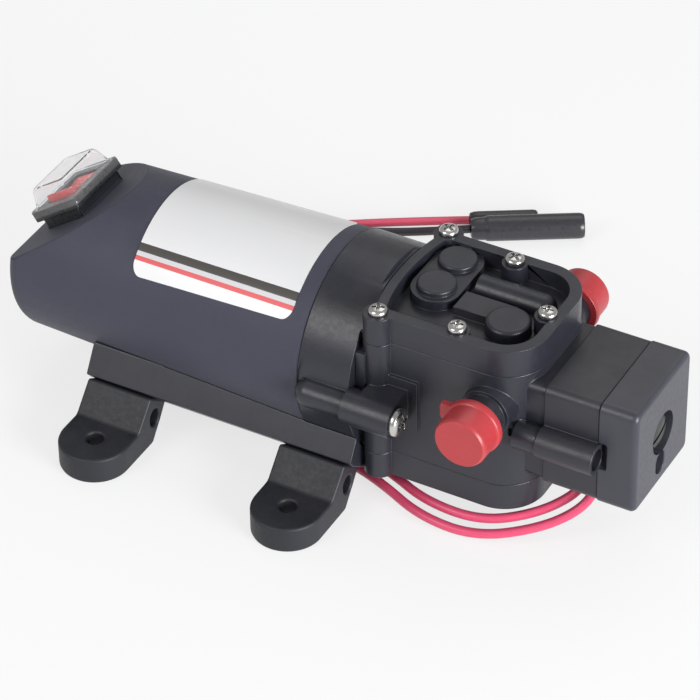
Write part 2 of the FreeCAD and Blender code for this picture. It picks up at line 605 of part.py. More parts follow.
def motor_inside():
    """Magnets, brush bell, brushes and bearings, which stay still."""
    start = STACK_REAR + " - magnet_over"
    length = "%s - %s + 2 * magnet_over" % (STACK_FRONT, STACK_REAR)
    arc = ring("magnet_ring", "X", "can_rad - can_wall - magnet_gap", MAGNET_INNER, length, start, 0,
               "axis_z")
    slots = block("magnet_slots", length + " + 2", "can_rad", "2 * can_rad + 2", start + " - 1",
                  "-can_rad / 2", "axis_z - can_rad - 1")
    node(cut("magnets", arc, slots), "magnets")

    plate = rod("bell_plate", "X", "can_rad - can_wall", "bell_len", "can_rear", 0, "axis_z")
    boss = rod("bell_boss", "X", "nose_rad", "bearing_len", "can_rear - bearing_len", 0, "axis_z")
    seat = rod("bell_seat", "X", "bearing_rad", "bearing_len", "can_rear - bearing_len + 1", 0, "axis_z")
    way = rod("bell_way", "X", "shaft_rad + 1", "bell_len + 2", "can_rear", 0, "axis_z")
    node(cut("brush_bell", fuse("bell_solid", plate, boss), seat, way), "brush_bell")

    node(ring("rear_bearing", "X", "bearing_rad", "shaft_rad + fit", "bearing_len",
              "can_rear - bearing_len + 1", 0, "axis_z"), "rear_bearing")
    node(ring("front_bearing", "X", "bearing_rad", "shaft_rad + fit", "bearing_len",
              "can_front - can_wall + 0.3", 0, "axis_z"), "front_bearing")

    holders, brushes = [], []
    start = "can_rear + bell_len"
    for i, side in enumerate((-1, 1)):
        near = "commutator_rad + fit + 1"
        low = near if side > 0 else "-(%s) - brush_len" % near
        shell = block("holder_shell_%d" % i, "brush_wide + 2 * holder_wall", "brush_len",
                      "brush_tall + 2 * holder_wall", start, low,
                      "axis_z - brush_tall / 2 - holder_wall")
        way = block("holder_way_%d" % i, "brush_wide", "brush_len + 2", "brush_tall",
                    start + " + holder_wall", "(%s) - 1" % low, "axis_z - brush_tall / 2")
        holders.append(cut("holder_%d" % i, shell, way))
        tip = "commutator_rad + 2 * fit"
        brush_low = tip if side > 0 else "-(%s) - brush_len" % tip
        brushes.append(block("brush_%d" % i, "brush_wide - fit", "brush_len", "brush_tall - fit",
                             start + " + holder_wall + fit / 2", brush_low,
                             "axis_z - brush_tall / 2 + fit / 2"))
    node(group("brush_holders", *holders), "brush_holders")
    node(group("brushes", *brushes), "brushes")


def rotor():
    """The shaft and all that turns with it."""
    shaft_rear = "can_rear - bearing_len + 1 + gap"
    shaft_end = "pump_x + cam_len / 2"
    node(rod("motor_shaft", "X", "shaft_rad", "%s - (%s)" % (shaft_end, shaft_rear), shaft_rear, 0,
             "axis_z"), "motor_shaft")
    node(ring("armature_stack", "X", STACK_RAD, "shaft_rad", "%s - %s" % (STACK_FRONT, STACK_REAR),
              STACK_REAR, 0, "axis_z"), "armature_stack")
    winding_rad = STACK_RAD + " - winding_step"
    rear = ring("winding_rear", "X", winding_rad, "shaft_rad", "winding_len",
                STACK_REAR + " - winding_len", 0, "axis_z")
    front = ring("winding_front", "X", winding_rad, "shaft_rad", "winding_len", STACK_FRONT, 0, "axis_z")
    node(group("armature_windings", rear, front), "armature_windings")
    node(ring("commutator", "X", "commutator_rad", "shaft_rad", "commutator_len", COMMUTATOR_REAR, 0,
              "axis_z"), "commutator")
    disc = rod("cam_disc", "X", CAM_RAD, "cam_len", "pump_x - cam_len / 2", "throw", "axis_z")
    bore = rod("cam_bore", "X", "shaft_rad", "cam_len + 2", "pump_x - cam_len / 2 - 1", 0, "axis_z")
    node(cut("drive_eccentric", disc, bore), "drive_eccentric")


def drive_collar():
    ring_part = rod("collar_disc", "X", COLLAR, "collar_front - sleeve_seam", "sleeve_seam", 0, "axis_z")
    bore = rod("collar_bore", "X", "can_rad + gap", "can_front - sleeve_seam + gap", "sleeve_seam", 0,
               "axis_z")
    nose = rod("collar_nose_way", "X", "nose_rad + gap", "collar_front - can_front + 1", "can_front", 0,
               "axis_z")
    lugs, holes = [], []
    for i, side in enumerate((-1, 1)):
        y = "%d * bolt_y" % side
        lugs.append(rod("collar_lug_%d" % i, "X", "lug_rad", "collar_front - sleeve_seam - lug_rad",
                        "sleeve_seam + lug_rad", y, "axis_z"))
        lugs.append(ball("collar_lug_end_%d" % i, "lug_rad", "sleeve_seam + lug_rad", y, "axis_z"))
        holes.append(rod("collar_bolt_hole_%d" % i, "X", "bolt_rad", "collar_front", "sleeve_seam + 2",
                         y, "axis_z"))
    solid = fuse("collar_solid", ring_part, *lugs, *collar_brows())
    return node(cut("drive_collar", solid, bore, nose, *holes), "drive_collar")


def collar_brows():
    """The collar's reach to the curved rear of each end cover."""
    brows = []
    for i, side in enumerate((-1, 1)):
        long = "head_corner - collar_front + sink"
        low = "axis_z + mid_half + gap" if side > 0 else "axis_z - mid_half - gap - cover_tall"
        disc = rod("brow_disc_%d" % i, "X", COLLAR, long, "collar_front - sink", 0, "axis_z")
        room = block("brow_box_%d" % i, long, "2 * head_half", "cover_tall", "collar_front - sink",
                     "-head_half", low)
        rear = rod("brow_rear_%d" % i, "Z", "bulge_rad + gap", "cover_tall + 2", "bulge_x", 0,
                   "%s - 1" % low)
        posts = [rod("brow_post_%d_%d" % (i, k), "Z", "post_rad + gap", "cover_tall + 2", "screw_ab_x",
                     "%d * screw_ab_y" % k, "%s - 1" % low) for k in (-1, 1)]
        brows.append(cut("brow_%d" % i, common("brow_part_%d" % i, disc, room), rear, *posts))
    return brows


# The base bracket and its four rubber feet


def base_bracket():
    body = new_body("bracket_body")
    points = RAIL_HALF + [("-(%s)" % y, z) for y, z in reversed(RAIL_HALF)]
    sketch = profile(body, "bracket_section", "YZ_Plane", points, "rail_rear")
    pad(body, "bracket_pad", sketch, "rail_front - rail_rear")
    under_sleeve = sleeve_cone("bracket_sleeve_way", "gap", "rail_rear - 1", "sleeve_seam")
    under_collar = rod("bracket_collar_way", "X", COLLAR + " + gap", "rail_front - sleeve_seam + 1",
                       "sleeve_seam", 0, "axis_z")
    return node(cut("base_bracket", body, under_sleeve, under_collar), "base_bracket")


def underside_z(y):
    """The height of the rail's sloped underside at a distance y from the middle."""
    lip_y, lip_z = RAIL_HALF[2]
    web_y, web_z = RAIL_HALF[3]
    slope = "(%s - (%s)) / (%s - %s)" % (lip_z, web_z, lip_y, web_y)
    return "%s + (%s - %s) * %s" % (web_z, y, web_y, slope)


def foot(label, along, side):
    name = label + "_body"
    body = new_body(name)
    flip = "%d * " % side
    outline = [
        (flip + "foot_heel_y", "0"),
        (flip + "foot_spacing_y / 2", "0"),
        (flip + "foot_spacing_y / 2", "foot_pad"),
        (flip + "foot_step_y", "foot_pad"),
        (flip + "(rail_edge_y + foot_lap)", "axis_z - rail_edge_low - foot_lap_low"),
        (flip + "rail_lip_y", "axis_z - rail_lip_low"),
        (flip + "foot_in_y", underside_z("foot_in_y")),
    ]
    start = "%d * foot_spacing_x / 2 - foot_wide / 2" % along
    sketch = profile(body, name + "_section", "YZ_Plane", outline, start)
    pad(body, name + "_pad", sketch, "foot_wide")
    x, y = "%d * foot_spacing_x / 2" % along, "%d * foot_spacing_y / 2" % side
    end = rod(label + "_end", "Z", "foot_pad_rad", "foot_pad", x, y, 0)
    solid = fuse(label + "_solid", body, end)
    hole = rod(label + "_hole", "Z", "foot_hole_rad", "foot_pad + 2", x, y, "-1")
    core_y = "%d * foot_core_y" % side
    core_z = "foot_pad"
    step = "(foot_core_tall - foot_core_wide) / 2"
    tall = block(label + "_core", "foot_wide + 2", "foot_core_wide", "foot_core_tall - foot_core_wide",
                 start + " - 1", core_y + " - foot_core_wide / 2", "%s - %s" % (core_z, step))
    rounds = [rod("%s_core_%d" % (label, k), "X", "foot_core_wide / 2", "foot_wide + 2", start + " - 1",
                  core_y, "%s + %d * %s" % (core_z, k, step)) for k in (-1, 1)]
    return node(cut(label, solid, hole, tall, *rounds), label)


# The pump head


def rear_bulge(name, radius, half, front, level, tall):
    """The head's curved rear, an arc about a point far in front, out to a half width."""
    disc = rod(name + "_disc", "Z", radius, tall, "bulge_x", 0, level)
    box = block(name + "_disc_box", front + " - head_rear + 1", "2 * (%s)" % half, tall,
                "head_rear - 1", "-(%s)" % half, level)
    return common(name + "_bulge", disc, box)


def head_slab(name, level, tall):
    """The head's outline with its bulged rear, round front corners and two corner posts."""
    body = new_body(name + "_body")
    outline = [
        ("head_corner", "-head_half"),
        ("head_front", "-head_half"),
        ("head_front", "head_half"),
        ("head_corner", "head_half"),
    ]
    sketch = profile(body, name + "_outline", "XY_Plane", outline, level)
    slab = pad(body, name + "_pad", sketch, tall)
    soften(body, name + "_corners", slab, "head_round", lambda e: upright(e, S["head_front"]))
    posts = [rod("%s_post_%d" % (name, i), "Z", "post_rad", tall, "screw_ab_x", "%d * screw_ab_y" % side,
                 level) for i, side in enumerate((-1, 1))]
    bulge = rear_bulge(name, "bulge_rad", "head_half", "head_corner + 1", level, tall)
    return fuse(name + "_slab", body, bulge, *posts)


SCREW_PLACES = [
    ("screw_ab_x", "-screw_ab_y"),
    ("screw_ab_x", "screw_ab_y"),
    ("screw_ce_x", "-screw_ce_y"),
    ("screw_ce_x", "screw_ce_y"),
    ("screw_d_x", "0"),
]


def screw_holes(name, level, tall):
    return [rod("%s_hole_%d" % (name, i), "Z", "screw_rad", tall, x, y, level)
            for i, (x, y) in enumerate(SCREW_PLACES)]


def middle_housing():
    slab = head_slab("housing", "axis_z - mid_half", "2 * mid_half")
    flange_len = "head_corner - collar_front + 1"
    flange = rod("housing_flange", "X", COLLAR, flange_len, "collar_front", 0, "axis_z")
    flange_trim = common("housing_flange_trim", flange,
                         block("housing_flange_box", flange_len, "2 * head_half", "2 * mid_half",
                               "collar_front", "-head_half", "axis_z - mid_half"))
    neck_body = new_body("neck_body")
    neck_start = "head_front - head_round"
    corners = [("-neck_half", "axis_z - neck_tall"), ("neck_half", "axis_z - neck_tall"),
               ("neck_half", "axis_z + neck_tall"), ("-neck_half", "axis_z + neck_tall")]
    neck_pad = pad(neck_body, "neck_pad",
                   profile(neck_body, "neck_outline", "YZ_Plane", corners, neck_start),
                   "neck_front - (%s)" % neck_start)
    soften(neck_body, "neck_round", neck_pad, "switch_round", lengthwise)

    added, removed = [slab, flange_trim, neck_body], []
    for i, side in enumerate((-1, 1)):
        y = "%d * tube_y" % side
        added.append(rod("neck_ear_%d" % i, "X", "ear_rad", "neck_front - ear_rear", "ear_rear", y,
                         "axis_z"))
        removed.append(rod("neck_ear_hole_%d" % i, "X", "screw_rad", "screw_grip + 2",
                           "neck_front - screw_grip - 1", y, "axis_z"))
        bolt = "%d * bolt_y" % side
        added.append(rod("bolt_ear_%d" % i, "X", "bolt_ear_rad", "bolt_ear_front - collar_front",
                         "collar_front", bolt, "axis_z"))
        low = "head_half / 2" if side > 0 else "-bolt_y"
        added.append(block("bolt_web_%d" % i, "bolt_ear_front - head_corner", "bolt_y - head_half / 2",
                           "2 * bolt_ear_rad", "head_corner", low, "axis_z - bolt_ear_rad"))
        plate_from = "screw_ab_y" if side > 0 else "-plate_y"
        added.append(block("rear_plate_%d" % i, "plate_long", "plate_y - screw_ab_y", "plate_tall",
                           "collar_front + gap", plate_from, "axis_z + plate_low"))
        pad_y = "head_half - sink" if side > 0 else "-head_half - bolt_pad_out"
        added.append(block("bolt_pad_%d" % i, "bolt_pad_front - head_corner", "bolt_pad_out + sink",
                           "2 * bolt_pad_up", "head_corner", pad_y, "axis_z - bolt_pad_up"))
        removed.append(rod("bolt_ear_hole_%d" % i, "X", "bolt_rad", "bolt_ear_front", "collar_front - 1",
                           bolt, "axis_z"))
        port_y = "%d * port_end_y" % side
        low_y = "0" if side > 0 else "-port_end_y"
        added.append(rod("port_tube_%d" % i, "Y", "port_rad", "port_end_y", "port_x", low_y,
                         "axis_z + port_up"))
        ring_y = "0" if side > 0 else "-port_ring_end"
        added.append(rod("port_ring_%d" % i, "Y", "port_ring_rad", "port_ring_end", "port_x", ring_y,
                         "axis_z + port_up"))
        bore_y = "port_deep_y" if side > 0 else "-port_end_y - 1"
        removed.append(rod("port_bore_%d" % i, "Y", "port_bore", "port_end_y - port_deep_y + 1", "port_x",
                           bore_y, "axis_z + port_up"))
        removed.append(rod("port_duct_%d" % i, "Z", "duct_rad", "2 * mid_half + 2", "port_x",
                           "%d * duct_y" % side, "axis_z - mid_half - 1"))

    removed.append(rod("drive_space", "Z", DRIVE_RAD, "2 * mid_half + 2", "pump_x", 0,
                       "axis_z - mid_half - 1"))
    for i, side in enumerate((-1, 1)):
        level = "axis_z + mid_half - seat_deep" if side > 0 else "axis_z - mid_half - 1"
        removed.append(rod("seat_%d" % i, "Z", SEAT_RAD, "seat_deep + 1", "pump_x", 0, level))
    removed.append(rod("shaft_way", "X", "shaft_way_rad", "pump_x - collar_front + 1", "collar_front - 1",
                       0, "axis_z"))
    removed.append(rod("housing_bearing_seat", "X", "bearing_rad", "bearing_len + 1", "collar_front - 1", 0,
                       "axis_z"))
    removed.append(rod("sensor_way", "X", "sensor_way_rad", "neck_front - port_x + 1", "port_x", 0,
                       "axis_z"))
    removed.append(rod("sensor_duct", "Y", "sensor_way_rad", "duct_y", "port_x", 0, "axis_z"))
    grip = "screw_len - cover_tall + 1"
    removed += screw_holes("housing", "axis_z + mid_half - (%s)" % grip, grip + " + 1")
    removed += screw_holes("housing_low", "axis_z - mid_half - 1", grip + " + 1")
    solid = fuse("housing_solid", *added)
    node(cut("middle_housing", solid, *removed), "middle_housing")
    node(ring("housing_bearing", "X", "bearing_rad", "shaft_rad + fit", "bearing_len", "collar_front", 0,
              "axis_z"), "housing_bearing")


def cover_solid(name):
    """An end cover with its hollow top, seen from above with its seam at height 0."""
    slab = head_slab(name, "0", "cover_tall")
    dish_body = new_body(name + "_dish_body")
    rim = "dish_rim"
    outline = [
        ("head_corner + " + rim, "-(head_half - %s)" % rim),
        ("head_front - " + rim, "-(head_half - %s)" % rim),
        ("head_front - " + rim, "head_half - " + rim),
        ("head_corner + " + rim, "head_half - " + rim),
    ]
    sketch = profile(dish_body, name + "_dish_outline", "XY_Plane", outline, "cover_tall - dish_deep")
    dish_pad = pad(dish_body, name + "_dish_pad", sketch, "dish_deep + 1")
    front = S["head_front"] - S["dish_rim"]
    soften(dish_body, name + "_dish_corners", dish_pad, "head_round - dish_rim",
           lambda e: upright(e, front))
    dish_bulge = rear_bulge(name + "_dish", "bulge_rad - dish_rim_rear", "head_half - " + rim,
                            "head_corner + dish_rim + 1", "cover_tall - dish_deep", "dish_deep + 1")
    shell = cut(name + "_shell", slab, dish_body, dish_bulge)
    floor = "cover_tall - dish_deep - sink"
    rise = "dish_deep + sink - "
    raised = [rod("%s_boss_%d" % (name, i), "Z", "boss_rad", "cover_tall - boss_low", x, y, 0)
              for i, (x, y) in enumerate(SCREW_PLACES)]
    for i, y in enumerate(("0", "pill_pitch")):
        raised.append(rod("%s_pill_end_%d" % (name, i), "Z", "pill_rad", rise + "pill_low", "pill_x", y,
                          floor))
        raised.append(rod("%s_button_%d" % (name, i), "Z", "button_rad", rise + "button_low", "pill_x", y,
                          floor))
    raised.append(block(name + "_pill", "2 * pill_rad", "pill_pitch", rise + "pill_low",
                        "pill_x - pill_rad", "0", floor))
    raised.append(rod(name + "_third", "Z", "third_rad", rise + "third_low", "third_x", "third_y", floor))
    raised.append(block(name + "_arm", "arm_long", "arm_wide", rise + "arm_low", "arm_x", "arm_y", floor))
    ridge_z = "cover_tall - dish_deep + ridge_up"
    ridge = fuse(name + "_ridge_round",
                 rod(name + "_ridge", "X", "ridge_rad", "ridge_long", "ridge_x", "ridge_y", ridge_z),
                 ball(name + "_ridge_end", "ridge_rad", "ridge_x + ridge_long", "ridge_y", ridge_z))
    raised.append(common(name + "_ridge_top", ridge,
                         block(name + "_ridge_box", "ridge_long + 2 * ridge_rad", "2 * ridge_rad",
                               "2 * ridge_rad", "ridge_x", "ridge_y - ridge_rad", floor)))
    trimmed = common(name + "_raised", fuse(name + "_raised_all", *raised),
                     head_slab(name + "_limit", "0", "cover_tall"))
    return fuse(name + "_solid", shell, trimmed)


def end_cover(label, side):
    """The top cover, or the bottom one, which is the top one turned over."""
    name = label
    base = cover_solid(name)
    holes = screw_holes(name, "-1", "cover_tall + 2")
    low = "duct_y + duct_rad - sink"
    room = "gallery_deep + 1"
    for i, way in enumerate((-1, 1)):
        y = "%d * valve_off" % way
        holes.append(rod("%s_valve_room_%d" % (name, i), "Z", "valve_rad + sink", room, "pump_x", y, "-1"))
        start = "-(%s)" % low if way < 0 else "valve_off - 1"
        holes.append(block("%s_gallery_%d" % (name, i), "port_x - pump_x + duct_rad",
                           "%s - valve_off + 1" % low, room, "pump_x", start, "-1"))
    shaped = cut(name + "_shaped", base, *holes)
    turned = shaped if side > 0 else mirrored(name + "_turned", shaped, VEC(0, 0, 1))
    moved = doc.addObject("Part::Compound", name)
    moved.Links = [turned]
    bind(moved, "Placement.Base.z", "axis_z + %d * mid_half" % side)
    return node(moved, label)


def cover_screws(label, side):
    screws = []
    for i, (x, y) in enumerate(SCREW_PLACES):
        seat = "axis_z + mid_half + cover_tall" if side > 0 else "axis_z - mid_half - cover_tall"
        head_z = seat if side > 0 else seat + " - screw_head_tall"
        shank_z = seat + " - screw_len" if side > 0 else seat
        head = rod("%s_head_%d" % (label, i), "Z", "screw_head_rad", "screw_head_tall", x, y, head_z)
        shank = rod("%s_shank_%d" % (label, i), "Z", "screw_rad", "screw_len", x, y, shank_z)
        screws.append(fuse("%s_%d" % (label, i), head, shank))
    return node(group(label, *screws), label)


def stack_level(side, away, tall):
    """The lowest height of a layer that starts away from the axis on one side."""
    return "axis_z + (%s)" % away if side > 0 else "axis_z - (%s) - (%s)" % (away, tall)


def pump_stack(word, side):
    """Diaphragm, clamp disc, valve plate and valves at the top or the bottom of the housing."""
    seat = "mid_half - seat_deep"
    level = stack_level(side, seat, "rubber_wall")
    sheet_disc = rod("diaphragm_disc_" + word, "Z", SEAT_RAD + " - gap", "rubber_wall", "pump_x", 0, level)
    sheet_hole = rod("diaphragm_hole_" + word, "Z", "clamp_screw_rad", "rubber_wall", "pump_x", "throw",
                     level)
    node(cut("diaphragm_" + word, sheet_disc, sheet_hole), "diaphragm_" + word)

    plate_at = seat + " + rubber_wall"
    plate_tall = "seat_deep - rubber_wall"
    disc = rod("plate_disc_" + word, "Z", SEAT_RAD + " - gap", plate_tall, "pump_x", 0,
               stack_level(side, plate_at, plate_tall))
    room = rod("plate_room_" + word, "Z", "chamber_rad", "chamber_deep + 1", "pump_x", 0,
               stack_level(side, plate_at + " - 1", "chamber_deep + 1"))
    web = "seat_deep - rubber_wall - chamber_deep"
    web_at = plate_at + " + chamber_deep"
    cuts = [room]
    valves = {"inlet": (-1, web_at + " - valve_wall", web_at), "outlet": (1, "mid_half", web_at)}
    for kind, (way, cap_at, stem_at) in valves.items():
        y = "%d * valve_off" % way
        through = stack_level(side, "0", "mid_half + 1")
        cuts.append(rod("stem_hole_%s_%s" % (kind, word), "Z", "stem_rad", "mid_half + 1", "pump_x", y,
                        through))
        for k in (-1, 1):
            cuts.append(rod("flow_hole_%s_%s_%d" % (kind, word, k), "Z", "flow_rad", "mid_half + 1",
                            "pump_x + %d * (valve_rad + stem_rad) / 2" % k, y, through))
        cap = rod("cap_%s_%s" % (kind, word), "Z", "valve_rad", "valve_wall", "pump_x", y,
                  stack_level(side, cap_at, "valve_wall"))
        stem = rod("stem_%s_%s" % (kind, word), "Z", "stem_rad", web, "pump_x", y,
                   stack_level(side, stem_at, web))
        VALVES[kind].append(fuse("valve_%s_%s" % (kind, word), cap, stem))
    node(cut("valve_plate_" + word, disc, *cuts), "valve_plate_" + word)

    clamp = ring("clamp_disc_" + word, "Z", "piston_rad", "clamp_screw_rad", "clamp_tall", "pump_x",
                 "throw", stack_level(side, plate_at, "clamp_tall"))
    node(clamp, "diaphragm_clamp_" + word)


VALVES = {"inlet": [], "outlet": []}


def clamp_screws():
    """Two screws that hold the clamp discs and diaphragms on the yoke."""
    screws = []
    for i, side in enumerate((1, -1)):
        away = "mid_half - seat_deep - piston_tall"
        tall = "piston_tall + rubber_wall + clamp_tall"
        shank = rod("clamp_shank_%d" % i, "Z", "clamp_screw_rad", tall, "pump_x", "throw",
                    stack_level(side, away, tall))
        head_at = away + " + " + tall
        head = rod("clamp_head_%d" % i, "Z", "clamp_head_rad", "clamp_head_tall", "pump_x", "throw",
                   stack_level(side, head_at, "clamp_head_tall"))
        screws.append(fuse("clamp_screw_%d" % i, shank, head))
    return node(group("clamp_screws", *screws), "clamp_screws")


def yoke():
    """The bar that the eccentric shakes: a ring round its bearing between two pistons."""
    hub = rod("yoke_hub", "X", HUB_RAD, "ring_len + 2 * sink", "pump_x - ring_len / 2 - sink", "throw",
              "axis_z")
    parts, holes = [hub], []
    for i, side in enumerate((1, -1)):
        away = "mid_half - seat_deep - piston_tall"
        parts.append(rod("yoke_piston_%d" % i, "Z", "piston_rad", "piston_tall", "pump_x", "throw",
                         stack_level(side, away, "piston_tall")))
        inner = RING_RAD + " + sink"
        stem = "%s - (%s)" % (away, inner)
        parts.append(rod("yoke_stem_%d" % i, "Z", "yoke_stem_rad", stem, "pump_x", "throw",
                         stack_level(side, inner, stem)))
        holes.append(rod("yoke_tap_%d" % i, "Z", "clamp_screw_rad", "piston_tall", "pump_x", "throw",
                         stack_level(side, away, "piston_tall")))
    bore = rod("yoke_bore", "X", RING_RAD, "ring_len + 4", "pump_x - ring_len / 2 - 2", "throw", "axis_z")
    node(cut("yoke", fuse("yoke_solid", *parts), bore, *holes), "yoke")
    node(ring("yoke_bearing", "X", RING_RAD, CAM_RAD + " + fit", "ring_len", "pump_x - ring_len / 2",
              "throw", "axis_z"), "yoke_bearing")


def motor_bolts():
    bolts = []
    for i, side in enumerate((-1, 1)):
        y = "%d * bolt_y" % side
        head = rod("bolt_head_%d" % i, "X", "bolt_head_rad", "bolt_head_tall", "bolt_ear_front", y,
                   "axis_z")
        shank = rod("bolt_shank_%d" % i, "X", "bolt_rad", "bolt_ear_front - sleeve_seam - 3",
                    "sleeve_seam + 3", y, "axis_z")
        bolts.append(fuse("bolt_%d" % i, head, shank))
    return node(group("motor_bolts", *bolts), "motor_bolts")


def port_cap(label, side):
    """A red dust cap over a port, with a pull tab on its flange."""
    height = "axis_z + port_up"
    cup_y = CAP_START if side > 0 else "-port_end_y - gap - cap_roof"
    cup = rod(label + "_cup", "Y", CAP_RAD, "cap_grip + gap + cap_roof", "port_x", cup_y, height)
    flange_y = CAP_START if side > 0 else "-%s - cap_flange" % CAP_START
    flange = rod(label + "_flange", "Y", CAP_RAD + " + cap_lip", "cap_flange", "port_x", flange_y, height)
    tab = block(label + "_tab", "cap_tab", "cap_flange", "cap_tab_tall",
                "port_x - %s - cap_tab / 2" % CAP_RAD, flange_y, height)
    bore_y = CAP_START + " - 1" if side > 0 else "-port_end_y - gap"
    way = rod(label + "_way", "Y", "port_rad + gap", "cap_grip + gap + 1", "port_x", bore_y, height)
    return node(cut(label, fuse(label + "_solid", cup, flange, tab), way), label)


# The pressure switch on the front of the head


def rounded_box(name, start, end, half, tall, radius):
    body = new_body(name + "_body")
    corners = [("-" + half, "axis_z - " + tall), (half, "axis_z - " + tall),
               (half, "axis_z + " + tall), ("-" + half, "axis_z + " + tall)]
    slab = pad(body, name + "_pad", profile(body, name + "_outline", "YZ_Plane", corners, start),
               "%s - (%s)" % (end, start))
    soften(body, name + "_round", slab, radius, lengthwise)
    return body


PLUNGER_START = "neck_front + sensor_wall"
SPRING_START = "neck_front + sensor_wall + plunger_foot"
ADJUST_SEAT = "switch_front - recess_deep"


def pressure_switch():
    box = rounded_box("switch", "neck_front", "switch_seam", "switch_half", "switch_tall", "switch_round")
    tubes, cuts = [], []
    for i, side in enumerate((-1, 1)):
        y = "%d * tube_y" % side
        tubes.append(rod("switch_tube_%d" % i, "X", "tube_rad", "tube_front - neck_front", "neck_front", y,
                         "axis_z"))
        cuts.append(rod("tube_bore_%d" % i, "X", "screw_rad", "tube_front - neck_front + 2",
                        "neck_front - 1", y, "axis_z"))
        cuts.append(rod("tube_counter_%d" % i, "X", "screw_head_rad + 3 * gap",
                        "tube_front - tube_seat + 2", "tube_seat", y, "axis_z"))
    cuts.append(rod("sensor_seat", "X", "sensor_rad", "sensor_wall", "neck_front", 0, "axis_z"))
    cuts.append(rod("plunger_foot_way", "X", "plunger_flange + 4 * gap",
                    "plunger_foot + plunger_travel + 4 * gap", PLUNGER_START, 0, "axis_z"))
    cuts.append(rod("plunger_way", "X", "plunger_rad + fit", "switch_seam - neck_front", PLUNGER_START, 0,
                    "axis_z"))
    contact_z = "axis_z - switch_tall + contact_up"
    cuts.append(block("contact_room", "switch_seam - neck_front", "contact_wide + 2 * gap",
                      "contact_tall + 2 * gap", "neck_front + contact_off - gap", "-contact_side - gap",
                      contact_z + " - gap"))
    for i, (x, y) in enumerate(WIRE_IN):
        cuts.append(rod("wire_hole_%d" % i, "Z", "wire_rad + gap", "contact_up + 1", x, y,
                        "axis_z - switch_tall - 1"))
    node(cut("pressure_switch_body", fuse("switch_solid", box, *tubes), *cuts), "pressure_switch_body")

    node(rod("switch_diaphragm", "X", "sensor_rad", "sensor_wall", "neck_front", 0, "axis_z"),
         "switch_diaphragm")
    foot_disc = rod("plunger_foot", "X", "plunger_flange", "plunger_foot", PLUNGER_START, 0, "axis_z")
    stem = rod("plunger_stem", "X", "plunger_rad", "plunger_len", PLUNGER_START, 0, "axis_z")
    hollow = rod("plunger_hollow", "X", "spring_rad + spring_wire / 2 + 2 * gap", "plunger_len",
                 SPRING_START, 0, "axis_z")
    node(cut("switch_plunger", fuse("plunger_solid", foot_disc, stem), hollow), "switch_plunger")
    node(block("switch_contacts", "contact_long", "contact_wide", "contact_tall",
               "neck_front + contact_off", "-contact_side", contact_z), "switch_contacts")

    cap = rounded_box("cap", "switch_seam", "switch_front", "cap_half", "cap_tall", "switch_round")
    soften(cap, "cap_front_round", cap.Tip, "switch_front_round",
           lambda e: e.BoundBox.XMin > S["switch_front"] - 0.01)
    cuts = [rod("face_recess", "X", "recess_rad", "recess_deep + 1", ADJUST_SEAT, 0, "axis_z"),
            face_slot(),
            rod("spring_room", "X", "plunger_rad + fit", ADJUST_SEAT + " - 3 * sink - switch_seam + 1",
                "switch_seam - 1", 0, "axis_z"),
            rod("adjust_way", "X", "adjust_rad + fit", "switch_front - switch_seam + 1", "switch_seam", 0,
                "axis_z")]
    for i, side in enumerate((-1, 1)):
        cuts.append(rod("cap_groove_%d" % i, "X", "tube_rad + gap", "switch_screw_groove + 1",
                        "switch_seam - 1", "%d * tube_y" % side, "axis_z"))
    node(cut("pressure_switch_cap", cap, *cuts), "pressure_switch_cap")

    shank = rod("adjust_shank", "X", "adjust_rad", "adjust_len", ADJUST_SEAT + " - adjust_len", 0, "axis_z")
    head = rod("adjust_head_disc", "X", "adjust_head", "adjust_tall", ADJUST_SEAT + " + gap", 0, "axis_z")
    slit = block("adjust_slit_cut", "adjust_tall", "adjust_slit", "2 * adjust_head + 2",
                 ADJUST_SEAT + " + gap + adjust_tall / 2", "-adjust_slit / 2", "axis_z - adjust_head - 1")
    tip = rod("adjust_link", "X", "adjust_rad", "gap", ADJUST_SEAT, 0, "axis_z")
    node(cut("adjusting_screw", fuse("adjust_solid", shank, tip, head), slit), "adjusting_screw")

    screws = []
    for i, side in enumerate((-1, 1)):
        y = "%d * tube_y" % side
        head = rod("switch_head_%d" % i, "X", "screw_head_rad", "screw_head_tall", "tube_seat", y, "axis_z")
        shank = rod("switch_shank_%d" % i, "X", "screw_rad", "tube_seat - neck_front + screw_grip",
                    "neck_front - screw_grip", y, "axis_z")
        screws.append(fuse("switch_screw_%d" % i, head, shank))
    node(group("switch_screws", *screws), "switch_screws")


def face_slot():
    """The upright slot with round ends below the recess."""
    start, long = "switch_front - face_slot_deep", "face_slot_deep + 1"
    high = "axis_z - face_slot_low"
    ends = [rod("slot_end_%d" % i, "X", "face_slot_rad", long, start, "-face_slot_off",
                "%s - %d * face_slot_tall" % (high, i)) for i in (0, 1)]
    middle = block("slot_middle", long, "2 * face_slot_rad", "face_slot_tall", start,
                   "-face_slot_off - face_slot_rad", high + " - face_slot_tall")
    return fuse("face_slot", middle, *ends)


def coil_line(start, end, radius, turns):
    """A helix along X, made of half turns as arcs through three points each."""
    steps = round(turns * 2)
    rise = (end - start) / steps
    edges = []
    for k in range(steps):
        spots = []
        for part in (0.0, 0.5, 1.0):
            angle = math.pi * (k + part)
            spots.append(VEC(start + rise * (k + part), radius * math.cos(angle),
                             S["axis_z"] + radius * math.sin(angle)))
        edges.append(Part.Arc(*spots).toShape())
    return Part.Wire(edges)


def coil_gap(path, wire):
    """Prints the least gap of the coil to itself, measured between points a turn apart or more."""
    spots = path.discretize(600)
    apart = round(0.6 * len(spots) / S["spring_turns"])
    least = min(a.distanceToPoint(b) for i, a in enumerate(spots) for b in spots[i + apart:])
    print("switch_spring least gap to itself %.2f" % (least - wire))


